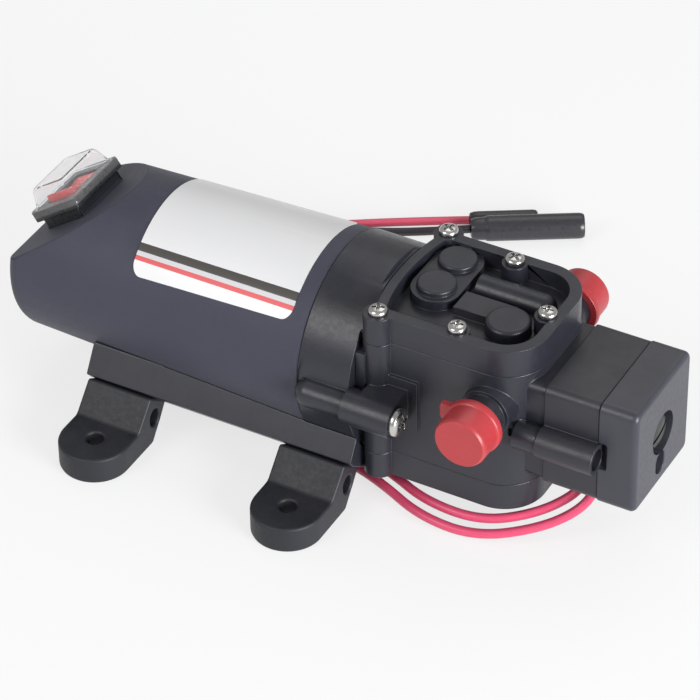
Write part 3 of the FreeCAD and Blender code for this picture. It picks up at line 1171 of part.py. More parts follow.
def switch_spring():
    """The spring between plunger and adjusting screw."""
    wire = S["spring_wire"]
    start = S["neck_front"] + S["sensor_wall"] + S["plunger_foot"] + wire / 2 + S["fit"]
    end = S["switch_front"] - S["recess_deep"] - S["adjust_len"] - wire / 2 - S["fit"]
    path = coil_line(start, end, S["spring_rad"], S["spring_turns"])
    first = path.Vertexes[0].Point
    along = path.Edges[0].tangentAt(path.Edges[0].FirstParameter)
    section = Part.Wire(Part.Circle(first, along, wire / 2).toShape())
    shape = path.makePipeShell([section], True, False)
    coil_gap(path, wire)
    obj = doc.addObject("Part::Feature", "switch_spring")
    obj.Shape = shape
    return node(obj, "switch_spring")


# The rocker switch on the slanted flat


def rocker_switch():
    rim = centred("bezel_rim", "bezel_wide", "bezel_long", "bezel_thick", "gap")
    housing = centred("bezel_housing", "rocker_body_wide", "rocker_body_long", "rocker_deep + gap",
                      "-rocker_deep")
    window = centred("bezel_window", "window_wide", "window_long", "window_deep + 2 * bezel_thick",
                     "-window_deep")
    pins = rod("bezel_pin_holes", "X", "pin_rad + fit", "window_wide + 2", "-window_wide / 2 - 1", 0, "0")
    node(on_bevel(cut("rocker_frame", fuse("bezel_solid", rim, housing), window, pins)), "rocker_frame")

    body = new_body("button_body")
    half = "(window_long / 2 - rocker_gap)"
    low_half = "(window_long / 2 - 2 * rocker_gap)"
    outline = [("-" + half, "rocker_tall"), ("0", "rocker_dip"), (half, "rocker_tall"),
               (low_half, "-rocker_dip"), ("0", "-rocker_tall"), ("-" + low_half, "-rocker_dip")]
    sketch = profile(body, "button_outline", "YZ_Plane", outline, "-(window_wide / 2 - rocker_side)")
    pad(body, "button_pad", sketch, "window_wide - 2 * rocker_side")
    pin = rod("button_pins", "X", "pin_rad", "window_wide + 2 * pin_rad", "-window_wide / 2 - pin_rad")
    solid = fuse("button_solid", body, pin)
    solid.Placement = FreeCAD.Placement(VEC(), FreeCAD.Rotation(VEC(-1, 0, 0), S["rocker_tilt"]))
    bind(solid, "Placement.Rotation.Angle", "rocker_tilt")
    node(on_bevel(group("rocker_button", solid)), "rocker_button")

    blades = [block("blade_%d" % i, "blade_thick", "blade_wide", "blade_len", "-blade_thick / 2",
                    "%d * blade_off - blade_wide / 2" % side, "-rocker_deep - blade_len")
              for i, side in enumerate((-1, 1))]
    node(on_bevel(group("rocker_blades", *blades)), "rocker_blades")

    base = "bezel_thick + gap"
    flange = centred("boot_flange", "bezel_wide - 4 * gap", "bezel_long - 4 * gap", "boot_wall", base)
    dome = boot_dome("boot_dome", 0)
    room = boot_dome("boot_room", S["boot_wall"])
    under = centred("boot_under", "bezel_wide - 5 * boot_wall", "bezel_long - 5 * boot_wall",
                    "boot_wall + 2", base + " - 1")
    node(on_bevel(cut("rocker_boot", fuse("boot_solid", flange, dome), room, under)), "rocker_boot")


def boot_dome(name, inset):
    """The boot's dome, a loft from a wide foot to a narrow crown."""
    low = S["bezel_thick"] + S["gap"]
    levels = [(0, 0.23), (0.55, 0.39), (0.85, 0.61), (1.0, 1.0)]
    wires = []
    for part, share in levels:
        draw = share * S["boot_draw"] + inset
        x = S["bezel_wide"] / 2 - draw
        y = S["bezel_long"] / 2 - draw
        z = low + part * (S["boot_tall"] - inset)
        corners = [VEC(-x, -y, z), VEC(x, -y, z), VEC(x, y, z), VEC(-x, y, z)]
        wires.append(Part.makePolygon(corners + [corners[0]]))
    obj = doc.addObject("Part::Feature", name)
    obj.Shape = Part.makeLoft(wires, True, True)
    return obj


# The label, the wires and the connector


def label_sticker():
    """A thin bent plate on the sleeve's upper near side."""
    outer = sleeve_cone("label_outer", "label_thick + glue", "label_rear", "label_front")
    inner = sleeve_cone("label_inner", "glue", "label_rear - 1", "label_front + 1")
    reach = 60.0
    corners = [VEC(S["label_rear"], 0, S["axis_z"])]
    for part in (0.0, 0.25, 0.5, 0.75, 1.0):
        angle = math.radians(S["label_low"] + part * (S["label_high"] - S["label_low"]))
        corners.append(VEC(S["label_rear"], -reach * math.cos(angle),
                           S["axis_z"] + reach * math.sin(angle)))
    sector = Part.Face(Part.makePolygon(corners + [corners[0]]))
    wedge = doc.addObject("Part::Feature", "label_wedge")
    wedge.Shape = sector.extrude(VEC(S["label_front"] - S["label_rear"], 0, 0))
    return node(common("label", cut("label_shell", outer, inner), wedge), "label")


def tube_path(points, name):
    """Straight runs joined by tangent arcs, each as large as its two runs allow."""
    spots = [VEC(*p) for p in points]
    edges = []
    start = spots[0]
    for i in range(1, len(spots) - 1):
        into = (spots[i] - spots[i - 1]).normalize()
        out = (spots[i + 1] - spots[i]).normalize()
        turn = math.acos(max(-1.0, min(1.0, into.dot(out))))
        shorter = min(spots[i].distanceToPoint(spots[i - 1]), spots[i].distanceToPoint(spots[i + 1]))
        radius = 0.45 * shorter / math.tan(turn / 2)
        reach = 0.45 * shorter
        first, last = spots[i] - into * reach, spots[i] + out * reach
        inward = (out - into).normalize()
        centre = spots[i] + inward * (radius / math.cos(turn / 2))
        middle = centre - inward * radius
        edges.append(Part.LineSegment(start, first).toShape())
        edges.append(Part.Arc(first, middle, last).toShape())
        start = last
        print("%s bend %d: turn %.0f, radius %.1f" % (name, i, math.degrees(turn), radius))
    edges.append(Part.LineSegment(start, spots[-1]).toShape())
    return Part.Wire(edges)


def cord(label, points, radius):
    path = tube_path(points, label)
    along = (VEC(*points[1]) - VEC(*points[0])).normalize()
    section = Part.Wire(Part.Circle(VEC(*points[0]), along, radius).toShape())
    shape = path.makePipeShell([section], True, False)
    share = shape.Volume / (math.pi * radius ** 2 * path.Length)
    print("%s length %.1f, volume over section times length %.4f" % (label, path.Length, share))
    obj = doc.addObject("Part::Feature", label)
    obj.Shape = shape
    return node(obj, label)


WIRE_IN = [("91.5", "-2.8"), ("95", "-6.2")]

SWITCH_WIRE_A = [
    (-43.6, 5.6, 11), (-43.6, 5.6, 5.8), (-39.6, 5, 2.2), (-28, 0.8, 1.9), (-8, -5.6, 2.1),
    (14, -6.2, 2.0), (30, -7.4, 2.4), (42, -12, 3.5), (55, -18.8, 4.8), (70, -19, 4.6),
    (81.5, -12.5, 6.6), (89.3, -6, 11), (91.5, -2.8, 16.5), (91.5, -2.8, 22),
]
SWITCH_WIRE_B = [
    (-43.6, 2.4, 11), (-43.6, 2.4, 5.8), (-39.6, 1.6, 2.2), (-28.6, -3.4, 2.0), (-9, -9.4, 1.9),
    (14, -10, 2.1), (29, -11.6, 2.2), (41, -16, 3.2), (55.5, -22.8, 3.2), (70.5, -22.4, 2.4),
    (84, -15.5, 5.2), (92, -9.5, 9.6), (95, -6.2, 15.5), (95, -6.2, 22),
]
LEAD_RED = [
    (-54.8, 6.5, 12), (-54.8, 6.5, 6.0), (-54.9, 11.8, 2.3), (-53.4, 25.5, 1.6), (-48.5, 42, 1.4),
    (-38, 63, 1.3), (-22, 74.5, 1.2), (-6.5, 84.2, 1.3), (9.6, 91.75, 2.4),
]
LEAD_BLACK = [
    (-51.6, 6.5, 12), (-51.6, 6.5, 6.0), (-51.5, 12, 2.3), (-49.4, 26, 1.6), (-44.2, 43, 1.4),
    (-33.5, 62.5, 1.3), (-20.3, 72.5, 1.2), (-8, 78.1, 1.2), (2.2, 83.2, 1.7), (12.35, 87.1, 3.5),
]


def grommet(label, word, wire_points, radius):
    """A rubber grommet in the sleeve's underside with a hole for each of two wires."""
    x, y = word + "_exit_x", word + "_exit_y"
    seat = "axis_z - sqrt((can_rad + gap)^2 - (%s + grommet_rad)^2) + gap" % y
    low = seat + " - grommet_tall"
    tall = "grommet_tall + grommet_lip"
    body = rod(label + "_neck", "Z", "grommet_rad - grommet_step", tall, x, y, low)
    lip = rod(label + "_lip", "Z", "grommet_rad", "grommet_lip", x, y, seat)
    holes = [rod("%s_way_%d" % (label, i), "Z", radius, tall + " + 2", p[0][0], p[0][1], low + " - 1")
             for i, p in enumerate(wire_points)]
    return node(cut(label, fuse(label + "_solid", body, lip), *holes), label)


def lead_connector():
    """Two joined round barrels, the thick one longer than the other, lying on the floor."""
    low = "plug_short_rad - plug_rad"
    parts = [rod("barrel_long", "X", "plug_rad", "plug_long", 0, 0, 0),
             rod("barrel_short", "X", "plug_short_rad", "plug_short", 0, "plug_pitch", low),
             block("barrel_web", "plug_short - 2", "plug_pitch", "plug_web", "1", 0,
                   low + " - plug_web / 2")]
    shell = fuse("connector_solid", *parts)
    socket = rod("barrel_socket", "X", "plug_bore", "plug_bore_deep + 1", "plug_long - plug_bore_deep")
    ways = [rod("barrel_way_%d" % i, "X", "lead_rad + gap", "2 * lead_rad", "-lead_rad",
                "%d * plug_pitch" % i, "%d * (%s)" % (i, low)) for i in range(2)]
    obj = cut("lead_connector", shell, socket, *ways)
    obj.Placement = FreeCAD.Placement(VEC(), FreeCAD.Rotation(VEC(0, 0, 1), S["plug_turn"]))
    bind(obj, "Placement.Base.x", "plug_x")
    bind(obj, "Placement.Base.y", "plug_y")
    bind(obj, "Placement.Base.z", "plug_rad")
    return node(obj, "lead_connector")


def check_and_write():
    doc.recompute()
    bad = [o.Name for o in doc.Objects if "Invalid" in o.State or "Error" in o.State]
    if bad:
        raise RuntimeError("failed objects: " + ", ".join(bad))
    os.makedirs("parts", exist_ok=True)
    for obj in NODES:
        shape = obj.Shape
        if shape.isNull() or not shape.isValid() or not shape.Solids:
            raise RuntimeError("bad shape: " + obj.Label)
        shape.exportStep("parts/%s.step" % obj.Label)
    print("%d nodes written" % len(NODES))


motor_sleeve()
motor_can()
motor_inside()
rotor()
drive_collar()
base_bracket()
for end, along in (("rear", -1), ("front", 1)):
    foot("foot_%s_near" % end, along, -1)
    foot("foot_%s_far" % end, along, 1)
middle_housing()
end_cover("top_cover", 1)
end_cover("bottom_cover", -1)
cover_screws("cover_screws_top", 1)
cover_screws("cover_screws_bottom", -1)
pump_stack("top", 1)
pump_stack("bottom", -1)
node(group("inlet_valves", *VALVES["inlet"]), "inlet_valves")
node(group("outlet_valves", *VALVES["outlet"]), "outlet_valves")
clamp_screws()
yoke()
motor_bolts()
port_cap("port_cap_near", -1)
port_cap("port_cap_far", 1)
pressure_switch()
switch_spring()
rocker_switch()
label_sticker()
cord("switch_wire_a", SWITCH_WIRE_A, S["wire_rad"])
cord("switch_wire_b", SWITCH_WIRE_B, S["wire_rad"])
cord("lead_wire_red", LEAD_RED, S["lead_rad"])
cord("lead_wire_black", LEAD_BLACK, S["lead_rad"])
grommet("switch_grommet", "wire", [SWITCH_WIRE_A, SWITCH_WIRE_B], "wire_rad")
grommet("lead_grommet", "lead", [LEAD_RED, LEAD_BLACK], "lead_rad")
lead_connector()
check_and_write()
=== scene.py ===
"""Small diaphragm pump for a camper's water system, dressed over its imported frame.

Laid out as an add-on: sizes and colours in property groups, one operator for
each piece or group of like pieces, one for the stage, and a sidebar panel.
"""

import json
import math
from contextlib import contextmanager

import bmesh
import bpy
from bpy.props import FloatProperty, FloatVectorProperty, PointerProperty
from mathutils import Matrix, Vector

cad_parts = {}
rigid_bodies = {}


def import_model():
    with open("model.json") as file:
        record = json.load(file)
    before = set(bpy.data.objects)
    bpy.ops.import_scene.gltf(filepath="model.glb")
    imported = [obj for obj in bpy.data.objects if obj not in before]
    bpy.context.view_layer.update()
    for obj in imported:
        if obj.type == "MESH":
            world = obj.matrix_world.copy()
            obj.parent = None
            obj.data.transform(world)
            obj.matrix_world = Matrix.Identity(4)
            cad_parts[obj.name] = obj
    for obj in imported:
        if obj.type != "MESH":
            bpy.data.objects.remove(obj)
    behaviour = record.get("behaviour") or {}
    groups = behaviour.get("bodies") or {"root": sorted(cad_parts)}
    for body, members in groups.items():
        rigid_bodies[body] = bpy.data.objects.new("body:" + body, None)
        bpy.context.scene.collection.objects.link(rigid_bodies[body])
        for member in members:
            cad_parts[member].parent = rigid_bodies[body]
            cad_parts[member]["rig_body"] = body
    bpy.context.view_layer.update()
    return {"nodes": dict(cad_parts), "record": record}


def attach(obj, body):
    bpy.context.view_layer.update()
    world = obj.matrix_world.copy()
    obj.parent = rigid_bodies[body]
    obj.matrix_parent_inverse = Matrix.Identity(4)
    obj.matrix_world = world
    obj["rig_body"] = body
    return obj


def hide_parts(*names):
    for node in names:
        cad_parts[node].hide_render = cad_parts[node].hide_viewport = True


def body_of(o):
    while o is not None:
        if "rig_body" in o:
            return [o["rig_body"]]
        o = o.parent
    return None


bl_info = {
    "name": "Diaphragm Pump",
    "version": (1, 0, 0),
    "blender": (4, 5, 0),
    "location": "View3D > Sidebar > Pump",
    "description": "Builds a small diaphragm pump with its wires, finishes and stage",
    "category": "Add Mesh",
}

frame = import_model()
NODES = frame["nodes"]
SLOTS = {row["node"]: row["material_slot"] for row in frame["record"]["subparts"]}

MM = 0.001
ALONG, ACROSS, UP = 0, 1, 2       # the part's axes
SIDES = NEAR, FAR = -1, 1         # the far side is +Y
BELOW, ABOVE = -1, 1
FORWARD = (0, 90, 0)              # turns what stands on Z along +X, in degrees

# Places and sizes that the part's source gives, in millimetres
AXIS = 33.5               # height of the motor's axis
SEAM_UP = 16.6            # from the axis to the seams between housing and covers
COVER_TALL = 7.5          # height of an end cover
COVER_SCREWS = [(41.8, -18.0), (41.8, 18.0), (61.3, -15.0), (61.3, 15.0), (77.6, 0.0)]
SWITCH_SCREW_X, SWITCH_SCREW_Y = 88.5, 16.5      # seats of the screws in their tubes
BOLT_X, BOLT_Y = 50.5, 26.0                      # seats of the motor bolts
SWITCH_FRONT = 108.65     # front face of the pressure switch
RECESS_DEEP = 3.0         # depth of the recess in that face
PORT_X, PORT_Z = 71.6, 40.1
PORT_CAP_START = 25.2     # inner end of a dust cap, from the middle
ROCKER_X, ROCKER_UP, ROCKER_SLANT = -53.2, 14.7, -35      # the last in degrees
CONNECTOR_PLACE, CONNECTOR_TURN = (12.35, 87.1, 3.5), 30.8
LABEL_RAD = 25.0          # radius on which the label's width is measured
LABEL_LOW, LABEL_HIGH = 34.5, 128.0      # its edges, in degrees round the axis
LABEL_REAR, LABEL_FRONT = -26.0, 19.0

# How finely the meshes are read, in millimetres and radians
SAME_PLACE = 0.01         # points nearer than this are one
SAME_LEVEL = 0.02         # an edge this near a level lies on it
SHARP = 0.7               # least angle of an edge that is rounded over


# ------------------------------------------------------------
# Sizes and colours
# ------------------------------------------------------------


def length(name, description, default):
    """A length in metres, shown in the scene's own unit."""
    return FloatProperty(name=name, description=description, default=default,
                         unit="LENGTH", precision=5)


def angle(name, description, degrees):
    """An angle, given in degrees and kept in radians."""
    return FloatProperty(name=name, description=description,
                         default=math.radians(degrees), subtype="ANGLE")


def colour(name, description, red, green, blue):
    """A linear colour."""
    return FloatVectorProperty(name=name, description=description, subtype="COLOR",
                               size=3, min=0.0, max=1.0, default=(red, green, blue))


class StageSizes(bpy.types.PropertyGroup):
    """Camera, floor and lamps."""

    azimuth: angle("Azimuth", "Camera's turn about the upright axis", 29.39)
    elevation: angle("Elevation", "Camera's height above the horizon", 38.21)
    roll: angle("Roll", "Camera's tilt in the picture", 0.87)
    distance: length("Distance", "Camera to the point it looks at", 0.93631)
    target_x: length("Target X", "Point the camera looks at, along the pump", 0.02387)
    target_z: length("Target Z", "Height of the point the camera looks at", 0.02709)
    lens: FloatProperty(name="Lens", description="Focal length in millimetres",
                        default=195.23)
    floor_size: length("Floor", "Side of the pale floor", 4.0)


class WireSizes(bpy.types.PropertyGroup):
    """Switch wires and supply leads."""

    switch_wire: length("Switch wire", "Diameter of the wires to the switch", 0.0024)
    lead_wire: length("Lead", "Diameter of the supply leads", 0.0023)


class ScrewSizes(bpy.types.PropertyGroup):
    """Cover screws and motor bolts."""

    head: length("Screw head", "Radius of the cover screws' pan heads", 0.0024)
    head_tall: length("Head height", "Height of the cover screws' pan heads", 0.0017)
    bolt_head: length("Bolt head", "Radius of the motor bolts' heads", 0.0037)


class FinishColours(bpy.types.PropertyGroup):
    """Colours of the pump's finishes."""

    sleeve: colour("Sleeve rubber", "Motor sleeve", 0.035, 0.037, 0.059)
    head: colour("Head plastic", "Pump head, collar and base", 0.018, 0.0185, 0.0265)
    switch: colour("Switch plastic", "Pressure switch's body", 0.021, 0.021, 0.028)
    switch_cap: colour("Switch cap", "Pressure switch's cap", 0.034, 0.034, 0.046)
    foot: colour("Foot rubber", "Rubber feet", 0.0115, 0.012, 0.017)
    cap: colour("Dust cap", "Red caps on the ports", 0.40, 0.034, 0.040)
    wire: colour("Switch wire", "Crimson wires to the switch", 0.62, 0.062, 0.14)
    red_lead: colour("Red lead", "Supply lead, plus side", 0.68, 0.09, 0.15)
    black_lead: colour("Black lead", "Supply lead, minus side", 0.02, 0.016, 0.02)


# ------------------------------------------------------------
# Modelling helpers
# ------------------------------------------------------------


def stand_alone(piece):
    """Leaves edit mode and makes this piece the one selected and active."""
    if bpy.context.object and bpy.context.object.mode != "OBJECT":
        bpy.ops.object.mode_set(mode="OBJECT")
    bpy.ops.object.select_all(action="DESELECT")
    if piece:
        piece.select_set(True)
        bpy.context.view_layer.objects.active = piece


@contextmanager
def editing(piece):
    """Edit mode on one piece with nothing selected."""
    stand_alone(piece)
    bpy.ops.object.mode_set(mode="EDIT")
    bpy.ops.mesh.select_all(action="DESELECT")
    yield
    bpy.ops.object.mode_set(mode="OBJECT")


def pick(piece, kind, test):
    """In edit mode, selects the faces or edges that pass the test."""
    bpy.ops.mesh.select_mode(type=kind)
    bpy.ops.mesh.select_all(action="DESELECT")
    shape = bmesh.from_edit_mesh(piece.data)
    parts = {"FACE": shape.faces, "EDGE": shape.edges}[kind]
    found = 0
    for part in parts:
        if test(part):
            part.select_set(True)
            found += 1
    bmesh.update_edit_mesh(piece.data)
    if not found:
        raise RuntimeError("%s: nothing found to shape" % piece.name)


def settle(piece, place=(0, 0, 0), turn=(0, 0, 0)):
    """Turns and places a piece, then leaves that in its mesh; turns are in degrees."""
    stand_alone(piece)
    piece.location = [part * MM for part in place]
    piece.rotation_euler = [math.radians(part) for part in turn]
    bpy.ops.object.transform_apply(location=True, rotation=True, scale=True)
    return piece


def own_copy(piece, name):
    """A copy with its own mesh."""
    stand_alone(piece)
    bpy.ops.object.duplicate()
    made = bpy.context.object
    made.name = name
    return made


def joined(name, pieces):
    """Makes one piece of several."""
    stand_alone(pieces[0])
    for piece in pieces[1:]:
        piece.select_set(True)
    bpy.ops.object.join()
    made = bpy.context.object
    made.name = name
    return made


def started(name, primitive, **settings):
    """A new piece that starts as a primitive."""
    bpy.ops.object.select_all(action="DESELECT")
    primitive(**settings)
    made = bpy.context.object
    made.name = name
    return made


def draw_up(rows):
    """In edit mode, draws a flat piece of the first (x, y, height) row up through the rest."""
    x, y, height = rows[0]
    bpy.ops.mesh.select_all(action="SELECT")
    bpy.ops.transform.translate(value=(0, 0, height * MM))
    for next_x, next_y, level in rows[1:]:
        bpy.ops.mesh.extrude_region_move(
            TRANSFORM_OT_translate={"value": (0, 0, (level - height) * MM)})
        bpy.ops.transform.resize(value=(next_x / x, next_y / y, 1),
                                 center_override=(0, 0, level * MM))
        x, y, height = next_x, next_y, level
    bpy.ops.mesh.select_all(action="SELECT")
    bpy.ops.mesh.normals_make_consistent(inside=False)


def turned(name, profile, sides=48):
    """A turned piece round Z: a disc drawn on through (radius, height) pairs in millimetres."""
    piece = started(name, bpy.ops.mesh.primitive_circle_add, vertices=sides,
                    radius=profile[0][0] * MM, fill_type="NGON")
    with editing(piece):
        draw_up([(radius, radius, height) for radius, height in profile])
    return piece


def stepped(name, sections, corner, open_foot=False):
    """A drafted box round Z: a rectangle drawn up through (half x, half y, height) rows."""
    half_x, half_y, foot = sections[0]
    piece = started(name, bpy.ops.mesh.primitive_plane_add, size=2 * MM)
    with editing(piece):
        bpy.ops.mesh.select_all(action="SELECT")
        bpy.ops.transform.resize(value=(half_x, half_y, 1), center_override=(0, 0, 0))
        draw_up(sections)
        if open_foot:
            pick(piece, "FACE",
                 lambda f: all(abs(v.co.z - foot * MM) < SAME_PLACE * MM for v in f.verts))
            bpy.ops.mesh.delete(type="FACE")
        pick(piece, "EDGE", lambda e: abs(e.verts[0].co.z - e.verts[1].co.z) > SAME_PLACE * MM)
        bpy.ops.mesh.bevel(offset=corner * MM, segments=4, affect="EDGES", clamp_overlap=True)
    return piece


def apply_modifier(piece, kind, **settings):
    """Puts a modifier on a piece and leaves its result in the mesh."""
    stand_alone(piece)
    made = piece.modifiers.new(kind, kind)
    for key, value in settings.items():
        setattr(made, key, value)
    bpy.ops.object.modifier_apply(modifier=made.name)


def carve(piece, cutter):
    """Takes the cutter's shape out of the piece."""
    apply_modifier(piece, "BOOLEAN", operation="DIFFERENCE", solver="EXACT", object=cutter)
    bpy.data.objects.remove(cutter, do_unlink=True)


def bar(name, size, place, turn=0.0):
    """A cutting bar of a given size round a place, turned about Z."""
    made = started(name, bpy.ops.mesh.primitive_cube_add, size=MM)
    made.scale = size
    return settle(made, place, (0, 0, turn))


def round_over(piece, width, test, segments):
    """Rounds the edges that pass the test."""
    with editing(piece):
        pick(piece, "EDGE", test)
        bpy.ops.mesh.bevel(offset=width * MM, segments=segments, affect="EDGES",
                           clamp_overlap=True)


def sharp_at(axis, level, within=None):
    """A test for sharp outward edges across an axis at a level, and within an area."""
    def test(edge):
        if len(edge.link_faces) != 2 or edge.calc_face_angle() < SHARP or not edge.is_convex:
            return False
        if any(abs(v.co[axis] - level * MM) > SAME_LEVEL * MM for v in edge.verts):
            return False
        return within is None or within((edge.verts[0].co + edge.verts[1].co) / (2 * MM))
    return test


def smooth_off(piece, degrees=35):
    """Smooth shading with flat faces kept flat."""
    stand_alone(piece)
    bpy.ops.object.shade_smooth_by_angle(angle=math.radians(degrees))
    apply_modifier(piece, "WEIGHTED_NORMAL", keep_sharp=True, weight=100)
    return piece


def soften_edges(piece, width, segments=2, limit=32):
    """Rounds every edge sharper than the limit."""
    apply_modifier(piece, "BEVEL", width=width * MM, segments=segments, limit_method="ANGLE",
                   angle_limit=math.radians(limit), use_clamp_overlap=False,
                   miter_outer="MITER_ARC")


def node_copy(node, name):
    """A CAD node's copy as one clean skin, free of its node's ties."""
    stand_alone(NODES[node])
    bpy.ops.object.duplicate()
    piece = bpy.context.object
    piece.name = name
    for key in list(piece.keys()):
        if key.startswith("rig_"):
            del piece[key]
    bpy.ops.object.parent_clear(type="CLEAR_KEEP_TRANSFORM")
    bpy.ops.object.transform_apply(location=True, rotation=True, scale=True)
    with editing(piece):
        bpy.ops.mesh.select_all(action="SELECT")
        bpy.ops.mesh.remove_doubles(threshold=SAME_PLACE * MM)
        bpy.ops.mesh.dissolve_limited(angle_limit=math.radians(1.0))
    return piece


def stand_in(piece, node):
    """Gives a piece the finish and body of the CAD node that it replaces, and hides that node."""
    stand_alone(None)
    piece.data.materials.clear()
    piece.data.materials.append(FINISHES[SLOTS[node]])
    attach(piece, body_of(NODES[node])[0])
    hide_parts(node)
    return piece


# ------------------------------------------------------------
# Shared shader groups
# ------------------------------------------------------------


def new_group(name, inputs, outputs):
    """A shader node group with a vector, inputs by their defaults and named outputs."""
    tree = bpy.data.node_groups.new(name, "ShaderNodeTree")
    tree.interface.new_socket("Vector", in_out="INPUT", socket_type="NodeSocketVector")
    for label, default in inputs.items():
        kind = "NodeSocketFloat" if isinstance(default, float) else "NodeSocketColor"
        socket = tree.interface.new_socket(label, in_out="INPUT", socket_type=kind)
        socket.default_value = default
    for label in outputs:
        kind = "NodeSocketColor" if label == "Colour" else "NodeSocketFloat"
        tree.interface.new_socket(label, in_out="OUTPUT", socket_type=kind)
    return tree, tree.nodes.new("NodeGroupInput"), tree.nodes.new("NodeGroupOutput")


def add(tree, kind, values=None, **settings):
    """A node with its settings and the plain values of its inputs."""
    made = tree.nodes.new(kind)
    for key, value in settings.items():
        setattr(made, key, value)
    for key, value in (values or {}).items():
        made.inputs[key].default_value = value
    return made


def feed(tree, side, socket):
    """Links a socket to an input, or sets the input to a number or a colour."""
    if isinstance(side, bpy.types.NodeSocket):
        tree.links.new(side, socket)
    else:
        socket.default_value = side


def math_node(tree, operation, first, second):
    """A Math node; each side is a socket or a number."""
    made = add(tree, "ShaderNodeMath", operation=operation)
    for socket, side in zip(made.inputs, (first, second)):
        feed(tree, side, socket)
    return made.outputs[0]


def noise(tree, vector, scale, detail=4.0, rough=0.55):
    """A noise texture on the given coordinates."""
    made = add(tree, "ShaderNodeTexNoise", {"Detail": detail, "Roughness": rough})
    tree.links.new(vector, made.inputs["Vector"])
    feed(tree, scale, made.inputs["Scale"])
    return made.outputs["Fac"]


def span(tree, value, low, high, to_low=0.0, to_high=1.0):
    """Maps a value's range to another, clamped."""
    made = add(tree, "ShaderNodeMapRange")
    tree.links.new(value, made.inputs["Value"])
    for key, side in zip(("From Min", "From Max", "To Min", "To Max"),
                         (low, high, to_low, to_high)):
        feed(tree, side, made.inputs[key])
    return made.outputs["Result"]


# Sockets of a Mix node that are used when it mixes colours
MIX_FACTOR, MIX_FIRST, MIX_SECOND, MIX_RESULT = 0, 6, 7, 2


def mix_colour(tree, factor, first, second, blend="MIX"):
    """A Mix node for colours; sides are sockets or colours."""
    made = add(tree, "ShaderNodeMix", data_type="RGBA", blend_type=blend)
    feed(tree, factor, made.inputs[MIX_FACTOR])
    for index, side in ((MIX_FIRST, first), (MIX_SECOND, second)):
        opaque = side if isinstance(side, bpy.types.NodeSocket) else (*side, 1.0)
        feed(tree, opaque, made.inputs[index])
    return made.outputs[MIX_RESULT]


def mottle_group():
    """Broad and fine unevenness of a moulded colour."""
    tree, source, sink = new_group(
        "Colour Mottle", {"Colour": (0.1, 0.1, 0.1, 1.0), "Amount": 0.1, "Scale": 60.0},
        ["Colour", "Fleck"])
    vector = source.outputs["Vector"]
    broad = noise(tree, vector, source.outputs["Scale"], 5.0, 0.6)
    finer = math_node(tree, "MULTIPLY", source.outputs["Scale"], 14.0)
    fine = noise(tree, vector, finer, 3.0, 0.7)
    both = math_node(tree, "ADD", math_node(tree, "MULTIPLY", broad, 0.65),
                     math_node(tree, "MULTIPLY", fine, 0.35))
    centred = span(tree, both, 0.32, 0.68, -1.0, 1.0)
    swing = math_node(tree, "MULTIPLY", centred, source.outputs["Amount"])
    gain = math_node(tree, "ADD", swing, 1.0)
    grey = add(tree, "ShaderNodeCombineColor")
    for key in ("Red", "Green", "Blue"):
        tree.links.new(gain, grey.inputs[key])
    tinted = mix_colour(tree, 1.0, source.outputs["Colour"], grey.outputs["Color"], "MULTIPLY")
    tree.links.new(tinted, sink.inputs["Colour"])
    tree.links.new(fine, sink.inputs["Fleck"])
    return tree


def grain_group():
    """Height of a spark-eroded mould's grain with a slight waviness under it."""
    tree, source, sink = new_group("Moulded Grain", {"Scale": 2500.0, "Wave": 0.3}, ["Height"])
    vector = source.outputs["Vector"]
    grit = noise(tree, vector, source.outputs["Scale"], 2.0, 0.6)
    wave = noise(tree, vector, 45.0, 2.0, 0.5)
    waviness = math_node(tree, "MULTIPLY", wave, source.outputs["Wave"])
    tree.links.new(math_node(tree, "ADD", grit, waviness), sink.inputs["Height"])
    return tree


def send_mask(tree, source, sink, first, second):
    """Ends a group with the product of two masks and its amount."""
    both = math_node(tree, "MULTIPLY", first, second)
    mask = math_node(tree, "MULTIPLY", both, source.outputs["Amount"])
    tree.links.new(mask, sink.inputs["Mask"])
    return tree


def edge_highlight_group():
    """Mask of a painted highlight along convex edges, broken up so that it never runs evenly."""
    tree, source, sink = new_group("Edge Wear", {"Amount": 0.5}, ["Mask"])
    geometry = add(tree, "ShaderNodeNewGeometry")
    # convex edges, where the painted highlight goes
    edge = span(tree, geometry.outputs["Pointiness"], 0.53, 0.66)
    patch = span(tree, noise(tree, source.outputs["Vector"], 160.0, 4.0, 0.65), 0.35, 0.7)
    return send_mask(tree, source, sink, edge, patch)


def dust_group():
    """Mask of fine dust on what faces up."""
    tree, source, sink = new_group("Settled Dust", {"Amount": 0.1}, ["Mask"])
    geometry = add(tree, "ShaderNodeNewGeometry")
    split = add(tree, "ShaderNodeSeparateXYZ")
    tree.links.new(geometry.outputs["Normal"], split.inputs[0])
    upward = span(tree, split.outputs["Z"], 0.35, 1.0)
    patch = span(tree, noise(tree, source.outputs["Vector"], 90.0, 6.0, 0.7), 0.4, 0.75)
    return send_mask(tree, source, sink, upward, patch)


def scratch_group():
    """Fine drawn lines on metal, as a height and a mask."""
    tree, source, sink = new_group("Drawn Lines", {"Scale": 900.0}, ["Height", "Mask"])
    stretch = add(tree, "ShaderNodeMapping")
    stretch.inputs["Scale"].default_value = (0.12, 1.0, 1.0)
    tree.links.new(source.outputs["Vector"], stretch.inputs["Vector"])
    lines = noise(tree, stretch.outputs["Vector"], source.outputs["Scale"], 3.0, 0.7)
    patch = noise(tree, source.outputs["Vector"], 200.0, 3.0, 0.6)
    tree.links.new(lines, sink.inputs["Height"])
    tree.links.new(span(tree, patch, 0.3, 0.7), sink.inputs["Mask"])
    return tree


GROUPS = {}      # the shared groups by name, filled when the finishes are made
FINISHES = {}    # the materials by slot


